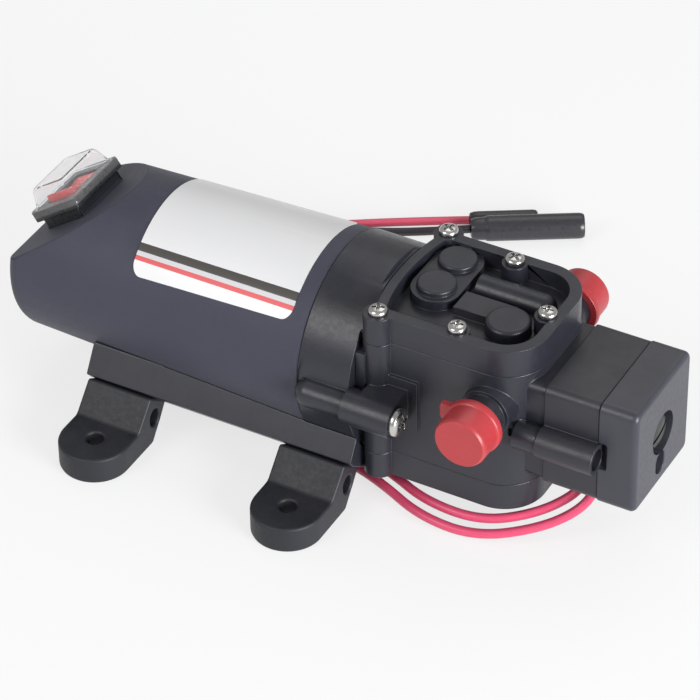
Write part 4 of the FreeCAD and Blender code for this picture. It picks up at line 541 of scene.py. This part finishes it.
def place_group(tree, name, vector, values):
    """Places a shared group in a material with its own values."""
    made = tree.nodes.new("ShaderNodeGroup")
    made.node_tree = GROUPS[name]
    tree.links.new(vector, made.inputs["Vector"])
    for key, value in values.items():
        made.inputs[key].default_value = (*value, 1.0) if hasattr(value, "__len__") else value
    return made


# ------------------------------------------------------------
# Materials
# ------------------------------------------------------------


def start_material(name):
    """A node material with an empty Principled shader and Object coordinates."""
    material = bpy.data.materials.new(name)
    material.use_nodes = True
    tree = material.node_tree
    shader = tree.nodes["Principled BSDF"]
    place = tree.nodes.new("ShaderNodeTexCoord").outputs["Object"]
    return material, tree, shader, place


def set_bump(tree, shader, height, strength, distance):
    """Bumps a shader's normal with a height."""
    bump = add(tree, "ShaderNodeBump", {"Strength": strength, "Distance": distance})
    tree.links.new(height, bump.inputs["Height"])
    tree.links.new(bump.outputs["Normal"], shader.inputs["Normal"])


DUST, DUST_AMOUNT = (0.32, 0.31, 0.30), 0.05
HIGHLIGHT_GAIN, HIGHLIGHT_LIFT = 2.2, 0.02     # how much paler the painted edge highlight is


def moulded(name, base, rough, grain=2600.0, depth=0.00003, mottle=0.10, wear=0.25,
            sheen=0.0):
    """Moulded plastic or rubber: mottled, finely grained, paler along its edges as a painted
    highlight, a little dusty.
    """
    material, tree, shader, place = start_material(name)
    tint = place_group(tree, "Colour Mottle", place, {"Colour": base, "Amount": mottle})
    # paler convex edges: a painted highlight along the edges
    painted_highlight = place_group(tree, "Edge Wear", place, {"Amount": wear})
    dusty = place_group(tree, "Settled Dust", place, {"Amount": DUST_AMOUNT})
    grainy = place_group(tree, "Moulded Grain", place, {"Scale": grain})
    # the paler colour of the painted edge highlight
    highlight_tint = tuple(min(1.0, part * HIGHLIGHT_GAIN + HIGHLIGHT_LIFT) for part in base)
    highlighted = mix_colour(tree, painted_highlight.outputs["Mask"], tint.outputs["Colour"], highlight_tint)
    dulled = mix_colour(tree, dusty.outputs["Mask"], highlighted, DUST)
    tree.links.new(dulled, shader.inputs["Base Color"])
    spread = span(tree, tint.outputs["Fleck"], 0.3, 0.7, rough - 0.06, rough + 0.06)
    tree.links.new(spread, shader.inputs["Roughness"])
    set_bump(tree, shader, grainy.outputs["Height"], 0.5, depth)
    shader.inputs["Sheen Weight"].default_value = sheen
    return material


METAL_LINES = 900.0      # scale of the drawn lines
TARNISH = 0.2            # how much darker the duller patches are


def metal(name, base, rough):
    """Bare metal with drawn lines and uneven polish."""
    material, tree, shader, place = start_material(name)
    lines = place_group(tree, "Drawn Lines", place, {"Scale": METAL_LINES})
    dark = tuple(part * (1.0 - TARNISH) for part in base)
    tint = mix_colour(tree, lines.outputs["Mask"], dark, base)
    tree.links.new(tint, shader.inputs["Base Color"])
    spread = span(tree, lines.outputs["Height"], 0.3, 0.7, rough - 0.08, rough + 0.08)
    tree.links.new(spread, shader.inputs["Roughness"])
    set_bump(tree, shader, lines.outputs["Height"], 0.35, 0.00002)
    shader.inputs["Metallic"].default_value = 1.0
    return material


CLEAR_SETTINGS = {"Transmission Weight": 0.95, "IOR": 1.1, "Coat Weight": 0.5,
                  "Coat Roughness": 0.12}


def clear_plastic(name, tint, rough):
    """Thin milky vinyl: it hardly bends what is seen through it, and its coat takes the shine."""
    material, tree, shader, place = start_material(name)
    cloud = span(tree, noise(tree, place, 140.0, 3.0, 0.6), 0.3, 0.7, rough - 0.02, rough + 0.04)
    tree.links.new(cloud, shader.inputs["Roughness"])
    shade = mix_colour(tree, noise(tree, place, 60.0), tint, tuple(0.94 * part for part in tint))
    tree.links.new(shade, shader.inputs["Base Color"])
    for key, value in CLEAR_SETTINGS.items():
        shader.inputs[key].default_value = value
    set_bump(tree, shader, noise(tree, place, 500.0), 0.15, 0.00004)
    return material


FILM_WHITE, FILM_SHADE = (0.76, 0.76, 0.765), (0.70, 0.70, 0.71)
# The film's bands: from and to, in degrees round the sleeve's axis, and the colour
FILM_BANDS = [
    (41.6, 44.4, (0.62, 0.055, 0.06)),
    (44.4, 47.2, (0.56, 0.56, 0.58)),
    (47.2, 52.2, (0.045, 0.04, 0.035)),
]


def printed_film(name):
    """White film with plain bands that run along the sleeve, set by the angle round its axis."""
    material, tree, shader, place = start_material(name)
    split = add(tree, "ShaderNodeSeparateXYZ")
    tree.links.new(place, split.inputs[0])
    height = math_node(tree, "SUBTRACT", split.outputs["Z"], AXIS * MM)
    across = math_node(tree, "MULTIPLY", split.outputs["Y"], -1.0)
    turn = math_node(tree, "MULTIPLY", math_node(tree, "ARCTAN2", height, across),
                     math.degrees(1.0))
    shade = noise(tree, place, 35.0, 3.0, 0.5)
    tint = mix_colour(tree, shade, FILM_WHITE, FILM_SHADE)
    for low, high, band in FILM_BANDS:
        inside = math_node(tree, "MULTIPLY", math_node(tree, "GREATER_THAN", turn, low),
                           math_node(tree, "LESS_THAN", turn, high))
        tint = mix_colour(tree, inside, tint, band)
    tree.links.new(tint, shader.inputs["Base Color"])
    tree.links.new(span(tree, shade, 0.3, 0.7, 0.26, 0.36), shader.inputs["Roughness"])
    set_bump(tree, shader, noise(tree, place, 420.0), 0.2, 0.00002)
    return material


# Each wear value is the strength of a painted highlight along the edges
WIRE_SKIN = {"grain": 1200.0, "depth": 0.00002, "mottle": 0.06, "wear": 0.0}
# Slot, name, colour or its property, roughness, and what else differs from plain plastic
MOULDED = [
    ("sleeve_rubber", "sleeve rubber", "sleeve", 0.62,
     {"grain": 2000.0, "depth": 0.00004, "mottle": 0.09, "wear": 0.15, "sheen": 0.05}),
    ("head_plastic", "head plastic", "head", 0.36, {"grain": 2400.0}),
    ("switch_plastic", "switch plastic", "switch", 0.40, {}),
    ("switch_cap_plastic", "switch cap plastic", "switch_cap", 0.38, {}),
    ("foot_rubber", "foot rubber", "foot", 0.55, {"grain": 1600.0, "depth": 0.00004}),
    ("grommet_rubber", "grommet rubber", (0.02, 0.02, 0.022), 0.6, {}),
    ("pump_rubber", "pump rubber", (0.03, 0.03, 0.032), 0.5, {}),
    ("inner_plastic", "white inner plastic", (0.62, 0.61, 0.57), 0.45, {}),
    ("bezel_black", "bezel plastic", (0.022, 0.023, 0.025), 0.3, {}),
    ("cap_red", "dust cap vinyl", "cap", 0.36,
     {"grain": 1800.0, "depth": 0.00002, "mottle": 0.07, "wear": 0.12}),
    ("rocker_red", "rocker plastic", (0.66, 0.025, 0.03), 0.25, {}),
    ("wire_crimson", "crimson wire", "wire", 0.34, WIRE_SKIN),
    ("lead_red", "red lead", "red_lead", 0.34, WIRE_SKIN),
    ("lead_black", "black lead", "black_lead", 0.36, WIRE_SKIN),
    ("connector_black", "connector plastic", (0.03, 0.03, 0.035), 0.30, {}),
    ("ferrite", "ferrite", (0.035, 0.034, 0.036), 0.5, {"mottle": 0.3}),
    ("carbon", "carbon", (0.018, 0.018, 0.019), 0.6, {"mottle": 0.3}),
]
# Slot, name, colour and roughness
METALS = [
    ("can_steel", "can steel", (0.55, 0.56, 0.58), 0.35),
    ("screw_steel", "plated screw", (0.66, 0.65, 0.63), 0.24),
    ("shaft_steel", "ground shaft", (0.6, 0.6, 0.6), 0.2),
    ("spring_steel", "spring wire", (0.5, 0.5, 0.5), 0.3),
    ("dark_screw", "blackened screw", (0.10, 0.10, 0.10), 0.4),
    ("copper", "winding copper", (0.80, 0.36, 0.20), 0.3),
    ("brass", "brass", (0.78, 0.58, 0.27), 0.28),
]


def make_finishes(colours):
    """Builds the shared groups and every finish of the pump."""
    for tree in (mottle_group(), grain_group(), edge_highlight_group(), dust_group(), scratch_group()):
        GROUPS[tree.name] = tree
    for slot, name, base, rough, extra in MOULDED:
        base = getattr(colours, base) if isinstance(base, str) else base
        FINISHES[slot] = moulded(name, base, rough, **extra)
    for slot, name, base, rough in METALS:
        FINISHES[slot] = metal(name, base, rough)
    FINISHES["label_film"] = printed_film("label film")
    FINISHES["boot_clear"] = clear_plastic("clear vinyl", (0.95, 0.95, 0.96), 0.05)


def finish_frame_nodes():
    """Gives every carried-over CAD node the finish of its material slot."""
    for node, finish in SLOTS.items():
        for slot in NODES[node].material_slots:
            slot.material = FINISHES[finish]


# ------------------------------------------------------------
# Wires
# ------------------------------------------------------------

# Routes in millimetres, as the part's source draws them
SWITCH_WIRE_A = [
    (-43.6, 5.6, 11), (-43.6, 5.6, 5.8), (-39.6, 5, 2.2), (-28, 0.8, 1.9), (-8, -5.6, 2.1),
    (14, -6.2, 2.0), (30, -7.4, 2.4), (42, -12, 3.5), (55, -18.8, 4.8), (70, -19, 4.6),
    (81.5, -12.5, 6.6), (89.3, -6, 11), (91.5, -2.8, 16.5), (91.5, -2.8, 22)]
SWITCH_WIRE_B = [
    (-43.6, 2.4, 11), (-43.6, 2.4, 5.8), (-39.6, 1.6, 2.2), (-28.6, -3.4, 2.0), (-9, -9.4, 1.9),
    (14, -10, 2.1), (29, -11.6, 2.2), (41, -16, 3.2), (55.5, -22.8, 3.2), (70.5, -22.4, 2.4),
    (84, -15.5, 5.2), (92, -9.5, 9.6), (95, -6.2, 15.5), (95, -6.2, 22)]
LEAD_RED = [
    (-54.8, 6.5, 12), (-54.8, 6.5, 6.0), (-54.9, 11.8, 2.3), (-53.4, 25.5, 1.6),
    (-48.5, 42, 1.4), (-38, 63, 1.3), (-22, 74.5, 1.2), (-6.5, 84.2, 1.3), (9.6, 91.75, 2.4)]
LEAD_BLACK = [
    (-51.6, 6.5, 12), (-51.6, 6.5, 6.0), (-51.5, 12, 2.3), (-49.4, 26, 1.6), (-44.2, 43, 1.4),
    (-33.5, 62.5, 1.3), (-20.3, 72.5, 1.2), (-8, 78.1, 1.2), (2.2, 83.2, 1.7), (12.35, 87.1, 3.5)]

# Piece, its node, its route, the length of its tube in millimetres and its slot
SWITCH_WIRES = [
    ("switch_wire_near", "switch_wire_a", SWITCH_WIRE_A, 159.6, "wire_crimson"),
    ("switch_wire_low", "switch_wire_b", SWITCH_WIRE_B, 163.7, "wire_crimson"),
]
LEADS = [
    ("lead_red_line", "lead_wire_red", LEAD_RED, 121.7, "lead_red"),
    ("lead_black_line", "lead_wire_black", LEAD_BLACK, 118.4, "lead_black"),
]


def wire(row, diameter, far_end, with_pieces=()):
    """A wire on one smooth curve through its route."""
    name, node, route, tube_length, slot = row
    line = bpy.data.curves.new(name, "CURVE")
    line.dimensions = "3D"
    line.bevel_depth = diameter / 2
    line.bevel_resolution = 5
    line.resolution_u = 12
    line.use_fill_caps = True
    spline = line.splines.new("NURBS")
    spline.points.add(len(route) - 1)
    for point, place in zip(spline.points, route):
        point.co = (*(part * MM for part in place), 1.0)
    spline.order_u = 3
    spline.use_endpoint_u = True
    piece = bpy.data.objects.new(name, line)
    bpy.context.scene.collection.objects.link(piece)
    line.materials.append(FINISHES[slot])
    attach(piece, "pump")
    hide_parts(node)


CONNECTOR_THICK = [
    (1.9, 0.0), (2.6, 0.25), (3.0, 1.2), (3.15, 3.4), (3.1, 3.7), (3.4, 4.3), (3.5, 5.2),
    (3.5, 28.9), (3.4, 29.8), (3.1, 30.4), (2.8, 30.5), (1.7, 30.5), (1.7, 22.5)]
CONNECTOR_THIN = [
    (1.5, 0.0), (2.0, 0.2), (2.3, 1.2), (2.4, 2.4), (2.4, 17.2), (2.25, 18.0), (1.8, 18.4)]
CONNECTOR_WEB = [(8.0, 2.2, -1.0), (8.2, 2.4, -0.7), (8.2, 2.4, 0.9), (8.0, 2.2, 1.2)]
THIN_PLACE, WEB_PLACE = (0, 5.4, -1.1), (9.2, 2.9, -1.1)


def supply_connector():
    """The connector's two barrels, one long and thick, one short, side by side."""
    thick = settle(turned("connector_soft", CONNECTOR_THICK), turn=FORWARD)
    thin = settle(turned("thin_barrel", CONNECTOR_THIN), THIN_PLACE, FORWARD)
    web = settle(stepped("web", CONNECTOR_WEB, corner=0.3), WEB_PLACE)
    piece = joined("connector_soft", [thick, thin, web])
    settle(piece, CONNECTOR_PLACE, (0, 0, CONNECTOR_TURN))
    return stand_in(smooth_off(piece, degrees=45), "lead_connector")


# ------------------------------------------------------------
# Housings and covers
# ------------------------------------------------------------

# Node and the rounding of all its edges, in millimetres
SOFT_NODES = [
    ("motor_sleeve", 0.4), ("drive_collar", 0.25), ("middle_housing", 0.16),
    ("base_bracket", 0.3), ("foot_rear_near", 0.7), ("foot_rear_far", 0.7),
    ("foot_front_near", 0.7), ("foot_front_far", 0.7), ("pressure_switch_body", 0.3),
    ("rocker_frame", 0.25), ("rocker_button", 0.35), ("lead_grommet", 0.3),
    ("switch_grommet", 0.3),
]
COVER_EDGES = 0.15
SEAM_ROUND = 0.3
# How far the pads lie below the cover's top, and the rounding of their edges
PADS = [(0.6, 0.9), (2.1, 1.3), (1.2, 1.2), (2.3, 0.8)]


def round_seam(piece, side):
    """Rounds the edges along the seam above (1) or below (-1) the axis."""
    round_over(piece, SEAM_ROUND, sharp_at(UP, AXIS + side * SEAM_UP), segments=2)


def soft_housing(node, width):
    """A moulded housing with its edges rounded over."""
    piece = node_copy(node, node + "_soft")
    if node == "middle_housing":
        for side in (BELOW, ABOVE):
            round_seam(piece, side)
    soften_edges(piece, width)
    stand_in(smooth_off(piece), node)


def soft_cover(node, side):
    """An end cover with its pads, seam and bosses rounded over."""
    piece = node_copy(node, node + "_soft")
    for low, width in PADS:
        level = AXIS + side * (SEAM_UP + COVER_TALL - low)
        round_over(piece, width, sharp_at(UP, level), segments=4)
    round_seam(piece, side)
    soften_edges(piece, COVER_EDGES)
    stand_in(smooth_off(piece), node)


# ------------------------------------------------------------
# Screws
# ------------------------------------------------------------

# Sizes in millimetres that have no place in the sidebar
SCREW_SHANK, COVER_SCREW_REACH, SWITCH_SCREW_REACH = 1.2, 16.0, 11.2
BOLT_TALL, BOLT_SHANK, BOLT_REACH = 2.2, 2.0, 24.0
SCREW_EDGES = 0.06
# Turn of the first screw's cross, and from each to the next, in degrees
COVER_SPIN, COVER_SPIN_STEP = 23, 41
BOLT_SPIN, BOLT_SPIN_STEP = 12, 35


def pan_screw(name, head, tall, shank, reach):
    """A pan-head screw standing on its seat at height 0, with a cross recess."""
    piece = turned(name, [
        (0.6 * shank, -reach), (shank, -reach + 1.0), (shank, 0), (0.96 * head, 0),
        (head, 0.12 * tall), (head, 0.45 * tall), (0.95 * head, 0.66 * tall),
        (0.84 * head, 0.82 * tall), (0.66 * head, 0.93 * tall), (0.36 * head, tall)])
    for turn in (0, 90):
        carve(piece, bar("cross", (1.3 * head, 0.3 * head, tall), (0, 0, 0.85 * tall), turn))
    soften_edges(piece, SCREW_EDGES, segments=1, limit=50)
    return smooth_off(piece, degrees=40)


def set_screws(node, model, turn, seats):
    """Sets copies of a screw as one piece: each is spun, then turned and put on its seat."""
    row = []
    for index, (place, spin) in enumerate(seats):
        screw = settle(own_copy(model, "screw_%d" % index), turn=(0, 0, spin))
        row.append(settle(screw, place, turn))
    stand_in(joined(node + "_set", row), node)


def cover_screw_seats(side):
    """Seats and spins of a cover's five screws."""
    height = AXIS + side * (SEAM_UP + COVER_TALL)
    return [((x, y, height), side * (COVER_SPIN + COVER_SPIN_STEP * index))
            for index, (x, y) in enumerate(COVER_SCREWS)]


# ------------------------------------------------------------
# Pressure switch, dust caps and boot
# ------------------------------------------------------------

CAP_EDGES = 0.3
RIM_REACH, RIM_ROUND = 5.9, 1.2      # the recess's rim lies within this reach of the axis
ADJUSTING_SCREW = [
    (1.8, -4.5), (2.35, -4.0), (2.35, 0.0), (4.3, 0.1), (4.6, 0.4), (4.6, 1.2),
    (4.3, 1.75), (3.6, 2.15), (2.4, 2.4), (1.0, 2.5)]
SLIT_SIZE, SLIT_PLACE, SLIT_TURN = (1.0, 9.8, 1.2), (0, 0, 2.5), 20


def switch_cap():
    """The pressure switch's cap with its recess's rim rounded over."""
    cap = node_copy("pressure_switch_cap", "switch_cap_soft")
    rim = sharp_at(ALONG, SWITCH_FRONT, lambda p: math.hypot(p.y, p.z - AXIS) < RIM_REACH)
    round_over(cap, RIM_ROUND, rim, segments=4)
    soften_edges(cap, CAP_EDGES)
    stand_in(smooth_off(cap), "pressure_switch_cap")


def adjusting_screw():
    """The slotted screw in the recess."""
    screw = turned("adjusting_screw_soft", ADJUSTING_SCREW)
    carve(screw, bar("slit", SLIT_SIZE, SLIT_PLACE, SLIT_TURN))
    smooth_off(settle(screw, (SWITCH_FRONT - RECESS_DEEP, 0, AXIS), FORWARD))
    stand_in(screw, "adjusting_screw")


DUST_CAP = [
    (5.5, 5.9), (5.5, 0.0), (7.1, 0.0), (7.3, 0.3), (7.3, 1.6), (7.1, 1.95), (6.8, 2.15),
    (6.75, 7.5), (6.6, 8.1), (6.25, 8.5), (5.6, 8.5)]
PULL_TAB = [(1.5, 0.8, 0), (1.8, 1.0, 0.6), (1.8, 1.0, 3.8), (1.5, 0.8, 4.4)]
TAB_ASIDE, TAB_IN = 6.8, 1.0


def dust_cap(node, side):
    """A soft red cap over a port, hollow, with a rolled flange and a pull tab."""
    cup = turned(node + "_soft", DUST_CAP, sides=64)
    settle(cup, (PORT_X, side * PORT_CAP_START, PORT_Z), (-90 * side, 0, 0))
    tab = stepped("tab", PULL_TAB, corner=0.4)
    settle(tab, (PORT_X - TAB_ASIDE, side * (PORT_CAP_START + TAB_IN), PORT_Z))
    piece = joined(node + "_soft", [cup, tab])
    stand_in(smooth_off(piece, degrees=45), node)


BOOT_WALL, BOOT_CORNER = 0.5, 0.9
BOOT = [
    (8.1, 10.4, 1.2), (8.15, 10.45, 2.7), (8.0, 10.3, 3.2), (7.3, 9.6, 3.4), (6.8, 9.1, 3.6),
    (6.3, 8.6, 5.4), (5.85, 8.15, 7.2), (5.5, 7.8, 7.85), (5.1, 7.4, 8.1)]


def clear_boot():
    """The thin clear boot over the rocker switch, open at its foot."""
    piece = stepped("rocker_boot_soft", BOOT, BOOT_CORNER, open_foot=True)
    apply_modifier(piece, "SOLIDIFY", thickness=BOOT_WALL * MM, offset=-1)
    smooth_off(piece, degrees=50)
    settle(piece, (ROCKER_X, 0, AXIS + ROCKER_UP), (0, ROCKER_SLANT, 0))
    stand_in(piece, "rocker_boot")


# ------------------------------------------------------------
# Label
# ------------------------------------------------------------

LABEL_CORNER = 2.6
LABEL_STRIPS = (24, 96)              # along the pump and round it
LABEL_OUT = 40.0                     # where it hangs before it is pressed on the sleeve
LABEL_GAP, LABEL_THICK = 0.06, 0.12


def cut_strips(axis, half, strips):
    """In edit mode, cuts a plane from -half to half into even strips across an axis."""
    normal = Vector([float(index == axis) for index in range(3)])
    for index in range(1, strips):
        bpy.ops.mesh.select_all(action="SELECT")
        bpy.ops.mesh.bisect(plane_co=normal * (half * (2 * index / strips - 1) * MM),
                            plane_no=normal)


def label_blank():
    """The label as a flat piece with round corners, cut finely enough to bend."""
    half_long = (LABEL_FRONT - LABEL_REAR) / 2
    half_wide = LABEL_RAD * math.sin(math.radians((LABEL_HIGH - LABEL_LOW) / 2))
    piece = started("label_soft", bpy.ops.mesh.primitive_plane_add, size=2 * MM)
    with editing(piece):
        bpy.ops.mesh.select_all(action="SELECT")
        bpy.ops.transform.resize(value=(half_long, half_wide, 1), center_override=(0, 0, 0))
        bpy.ops.mesh.bevel(offset=LABEL_CORNER * MM, segments=8, affect="VERTICES")
        cut_strips(ACROSS, half_wide, LABEL_STRIPS[1])
        cut_strips(ALONG, half_long, LABEL_STRIPS[0])
    return piece


def label():
    """The label, pressed on the sleeve and given its film's thickness."""
    piece = label_blank()
    middle = (LABEL_LOW + LABEL_HIGH) / 2
    aside = -math.cos(math.radians(middle)) * LABEL_OUT
    above = AXIS + math.sin(math.radians(middle)) * LABEL_OUT
    piece.location = ((LABEL_REAR + LABEL_FRONT) / 2 * MM, aside * MM, above * MM)
    piece.rotation_euler = (math.radians(90.0 - middle), 0, 0)
    apply_modifier(piece, "SHRINKWRAP", target=bpy.data.objects["motor_sleeve_soft"],
                   wrap_method="PROJECT", use_project_z=True, use_negative_direction=True,
                   use_positive_direction=False, offset=LABEL_GAP * MM)
    apply_modifier(piece, "SOLIDIFY", thickness=LABEL_THICK * MM, offset=1)
    bpy.ops.object.transform_apply(location=True, rotation=True, scale=True)
    stand_in(smooth_off(piece, degrees=40), "label")


# ------------------------------------------------------------
# Stage
# ------------------------------------------------------------

# Name, place, the point it is turned to, side of its square, power and colour
LAMPS = [
    ("key lamp", (-0.45, -0.95, 0.80), (0, 0, 0.03), 0.6, 5.7, (1.0, 0.99, 0.98)),
    ("front lamp", (1.05, -0.36, 0.28), (0.05, 0, 0.03), 0.5, 17.0, (0.97, 0.98, 1.0)),
    ("top lamp", (-0.1, 0.60, 1.00), (0, 0, 0.03), 0.7, 1.8, (1.0, 1.0, 1.0)),
]
FLOOR_PALE, FLOOR_SHADE = (0.86, 0.86, 0.86), (0.82, 0.82, 0.82)
FLOOR_GLOW = 0.72        # share of plain white in the floor that the camera sees
ROOM_LIGHT = 0.42        # strength of the white room as a light
SENSOR = 36              # width of the camera's sensor in millimetres


def floor_material():
    """Pale matt floor: nearly white to the camera, with the shadow kept."""
    material = bpy.data.materials.new("pale floor")
    material.use_nodes = True
    tree = material.node_tree
    tree.nodes.clear()
    place = tree.nodes.new("ShaderNodeTexCoord").outputs["Object"]
    tint = mix_colour(tree, noise(tree, place, 3.0), FLOOR_PALE, FLOOR_SHADE)
    matt = add(tree, "ShaderNodeBsdfDiffuse")
    tree.links.new(tint, matt.inputs["Color"])
    glow = add(tree, "ShaderNodeEmission", {"Strength": 1.0})
    path = add(tree, "ShaderNodeLightPath")
    seen = math_node(tree, "MAXIMUM", path.outputs["Is Camera Ray"],
                     math_node(tree, "MAXIMUM", path.outputs["Is Glossy Ray"],
                               path.outputs["Is Transmission Ray"]))
    share = math_node(tree, "MULTIPLY", seen, FLOOR_GLOW)
    both = tree.nodes.new("ShaderNodeMixShader")
    out = tree.nodes.new("ShaderNodeOutputMaterial")
    tree.links.new(share, both.inputs[0])
    tree.links.new(matt.outputs[0], both.inputs[1])
    tree.links.new(glow.outputs[0], both.inputs[2])
    tree.links.new(both.outputs[0], out.inputs[0])
    return material


def softbox(name, place, aim, size, power, tint):
    """A square area lamp turned towards a point."""
    lamp = bpy.data.lights.new(name, "AREA")
    lamp.shape = "SQUARE"
    lamp.size = size
    lamp.energy = power
    lamp.color = tint
    holder = bpy.data.objects.new(name, lamp)
    bpy.context.scene.collection.objects.link(holder)
    holder.location = place
    holder.rotation_euler = (Vector(aim) - Vector(place)).to_track_quat("-Z", "Y").to_euler()


def white_room(scene):
    """White to the camera and through the clear boot, and a gentle light elsewhere."""
    world = bpy.data.worlds.new("white room")
    world.use_nodes = True
    scene.world = world
    tree = world.node_tree
    back = tree.nodes["Background"]
    back.inputs["Color"].default_value = (1, 1, 1, 1)
    path = add(tree, "ShaderNodeLightPath")
    seen = math_node(tree, "MAXIMUM", path.outputs["Is Camera Ray"],
                     path.outputs["Is Transmission Ray"])
    tree.links.new(span(tree, seen, 0.0, 1.0, ROOM_LIGHT, 1.0), back.inputs["Strength"])


def aim_camera(scene, sizes):
    """Places the camera where the picture was taken from."""
    turn, rise, roll = sizes.azimuth, sizes.elevation, sizes.roll
    back = Vector((math.sin(turn) * math.cos(rise), -math.cos(turn) * math.cos(rise),
                   math.sin(rise)))
    right = Vector((math.cos(turn), math.sin(turn), 0))
    up = back.cross(right)
    side = right * math.cos(roll) - up * math.sin(roll)
    over = right * math.sin(roll) + up * math.cos(roll)
    lens = bpy.data.cameras.new("camera")
    lens.sensor_width = SENSOR
    lens.lens = sizes.lens
    lens.clip_start = 0.05
    lens.clip_end = 20
    camera = bpy.data.objects.new("camera", lens)
    scene.collection.objects.link(camera)
    place = Vector((sizes.target_x, 0, sizes.target_z)) + back * sizes.distance
    camera.matrix_world = Matrix((
        (side.x, over.x, back.x, place.x),
        (side.y, over.y, back.y, place.y),
        (side.z, over.z, back.z, place.z),
        (0, 0, 0, 1)))
    scene.camera = camera
    scene.view_settings.view_transform = "Standard"


# ------------------------------------------------------------
# Operators
# ------------------------------------------------------------


class PUMP_OT_finishes(bpy.types.Operator):
    """Build every finish and put it on the frame's own nodes"""

    bl_idname = "pump.finishes"
    bl_label = "Finishes"

    def execute(self, context):
        make_finishes(context.scene.pump_colours)
        finish_frame_nodes()
        return {"FINISHED"}


class PUMP_OT_stage(bpy.types.Operator):
    """Set up the pale floor, the soft lamps and the camera"""

    bl_idname = "pump.stage"
    bl_label = "Stage"

    def execute(self, context):
        sizes = context.scene.pump_stage
        floor = started("floor", bpy.ops.mesh.primitive_plane_add, size=sizes.floor_size)
        floor.data.materials.append(floor_material())
        for row in LAMPS:
            softbox(*row)
        white_room(context.scene)
        aim_camera(context.scene, sizes)
        return {"FINISHED"}


class PUMP_OT_wires(bpy.types.Operator):
    """Lay the two switch wires and the two supply leads"""

    bl_idname = "pump.wires"
    bl_label = "Wires"

    def execute(self, context):
        sizes = context.scene.pump_wires
        for row in SWITCH_WIRES:
            wire(row, sizes.switch_wire, "object")
        ends = [supply_connector()]
        for row in LEADS:
            wire(row, sizes.lead_wire, "connector", ends)
        return {"FINISHED"}


class PUMP_OT_housings(bpy.types.Operator):
    """Round over the edges of the moulded housings"""

    bl_idname = "pump.housings"
    bl_label = "Housings"

    def execute(self, context):
        for node, width in SOFT_NODES:
            soft_housing(node, width)
        return {"FINISHED"}


class PUMP_OT_covers(bpy.types.Operator):
    """Round the pads, bosses and seams of the two end covers"""

    bl_idname = "pump.covers"
    bl_label = "End covers"

    def execute(self, context):
        soft_cover("top_cover", ABOVE)
        soft_cover("bottom_cover", BELOW)
        return {"FINISHED"}


class PUMP_OT_screws(bpy.types.Operator):
    """Set the pan-head screws of the covers and the switch, and the motor bolts"""

    bl_idname = "pump.screws"
    bl_label = "Screws and bolts"

    def execute(self, context):
        sizes = context.scene.pump_screws
        head, tall = sizes.head / MM, sizes.head_tall / MM
        long = pan_screw("long_model", head, tall, SCREW_SHANK, COVER_SCREW_REACH)
        set_screws("cover_screws_top", long, (0, 0, 0), cover_screw_seats(ABOVE))
        set_screws("cover_screws_bottom", long, (180, 0, 0), cover_screw_seats(BELOW))
        short = pan_screw("short_model", head, tall, SCREW_SHANK, SWITCH_SCREW_REACH)
        set_screws("switch_screws", short, FORWARD, [
            ((SWITCH_SCREW_X, side * SWITCH_SCREW_Y, AXIS), 0) for side in SIDES])
        bolt = pan_screw("bolt_model", sizes.bolt_head / MM, BOLT_TALL, BOLT_SHANK, BOLT_REACH)
        set_screws("motor_bolts", bolt, FORWARD, [
            ((BOLT_X, side * BOLT_Y, AXIS), BOLT_SPIN + BOLT_SPIN_STEP * index)
            for index, side in enumerate(SIDES)])
        for model in (long, short, bolt):
            bpy.data.objects.remove(model, do_unlink=True)
        return {"FINISHED"}


class PUMP_OT_switch_cap(bpy.types.Operator):
    """Shape the pressure switch's cap, its recess and its adjusting screw"""

    bl_idname = "pump.switch_cap"
    bl_label = "Switch cap"

    def execute(self, context):
        switch_cap()
        adjusting_screw()
        return {"FINISHED"}


class PUMP_OT_dust_caps(bpy.types.Operator):
    """Put the red dust caps on the two ports"""

    bl_idname = "pump.dust_caps"
    bl_label = "Dust caps"

    def execute(self, context):
        dust_cap("port_cap_near", NEAR)
        dust_cap("port_cap_far", FAR)
        return {"FINISHED"}


class PUMP_OT_boot(bpy.types.Operator):
    """Mould the clear boot over the rocker switch"""

    bl_idname = "pump.boot"
    bl_label = "Clear boot"

    def execute(self, context):
        clear_boot()
        return {"FINISHED"}


class PUMP_OT_label(bpy.types.Operator):
    """Stick the plain banded label on the sleeve"""

    bl_idname = "pump.label"
    bl_label = "Label"

    def execute(self, context):
        label()
        return {"FINISHED"}


class PUMP_PT_panel(bpy.types.Panel):
    """The pump's steps in the sidebar"""

    bl_label = "Diaphragm Pump"
    bl_idname = "PUMP_PT_panel"
    bl_space_type = "VIEW_3D"
    bl_region_type = "UI"
    bl_category = "Pump"

    def draw(self, context):
        for step in STEPS:
            self.layout.operator(step.bl_idname)


STEPS = [PUMP_OT_finishes, PUMP_OT_stage, PUMP_OT_wires, PUMP_OT_housings, PUMP_OT_covers,
         PUMP_OT_screws, PUMP_OT_switch_cap, PUMP_OT_dust_caps, PUMP_OT_boot, PUMP_OT_label]
SCENE_GROUPS = {"pump_stage": StageSizes, "pump_wires": WireSizes, "pump_screws": ScrewSizes,
                "pump_colours": FinishColours}
CLASSES = [*SCENE_GROUPS.values(), *STEPS, PUMP_PT_panel]


def register():
    """Registers the classes and hangs the sizes on the scene."""
    for made in CLASSES:
        bpy.utils.register_class(made)
    for name, group in SCENE_GROUPS.items():
        setattr(bpy.types.Scene, name, PointerProperty(type=group))


def unregister():
    """Takes the sizes off the scene and unregisters the classes."""
    for name in SCENE_GROUPS:
        delattr(bpy.types.Scene, name)
    for made in reversed(CLASSES):
        bpy.utils.unregister_class(made)


def main():
    """Builds the pump step by step."""
    register()
    for step in STEPS:
        group, name = step.bl_idname.split(".")
        getattr(getattr(bpy.ops, group), name)()
    stand_alone(None)


if __name__ == "__main__":
    main()
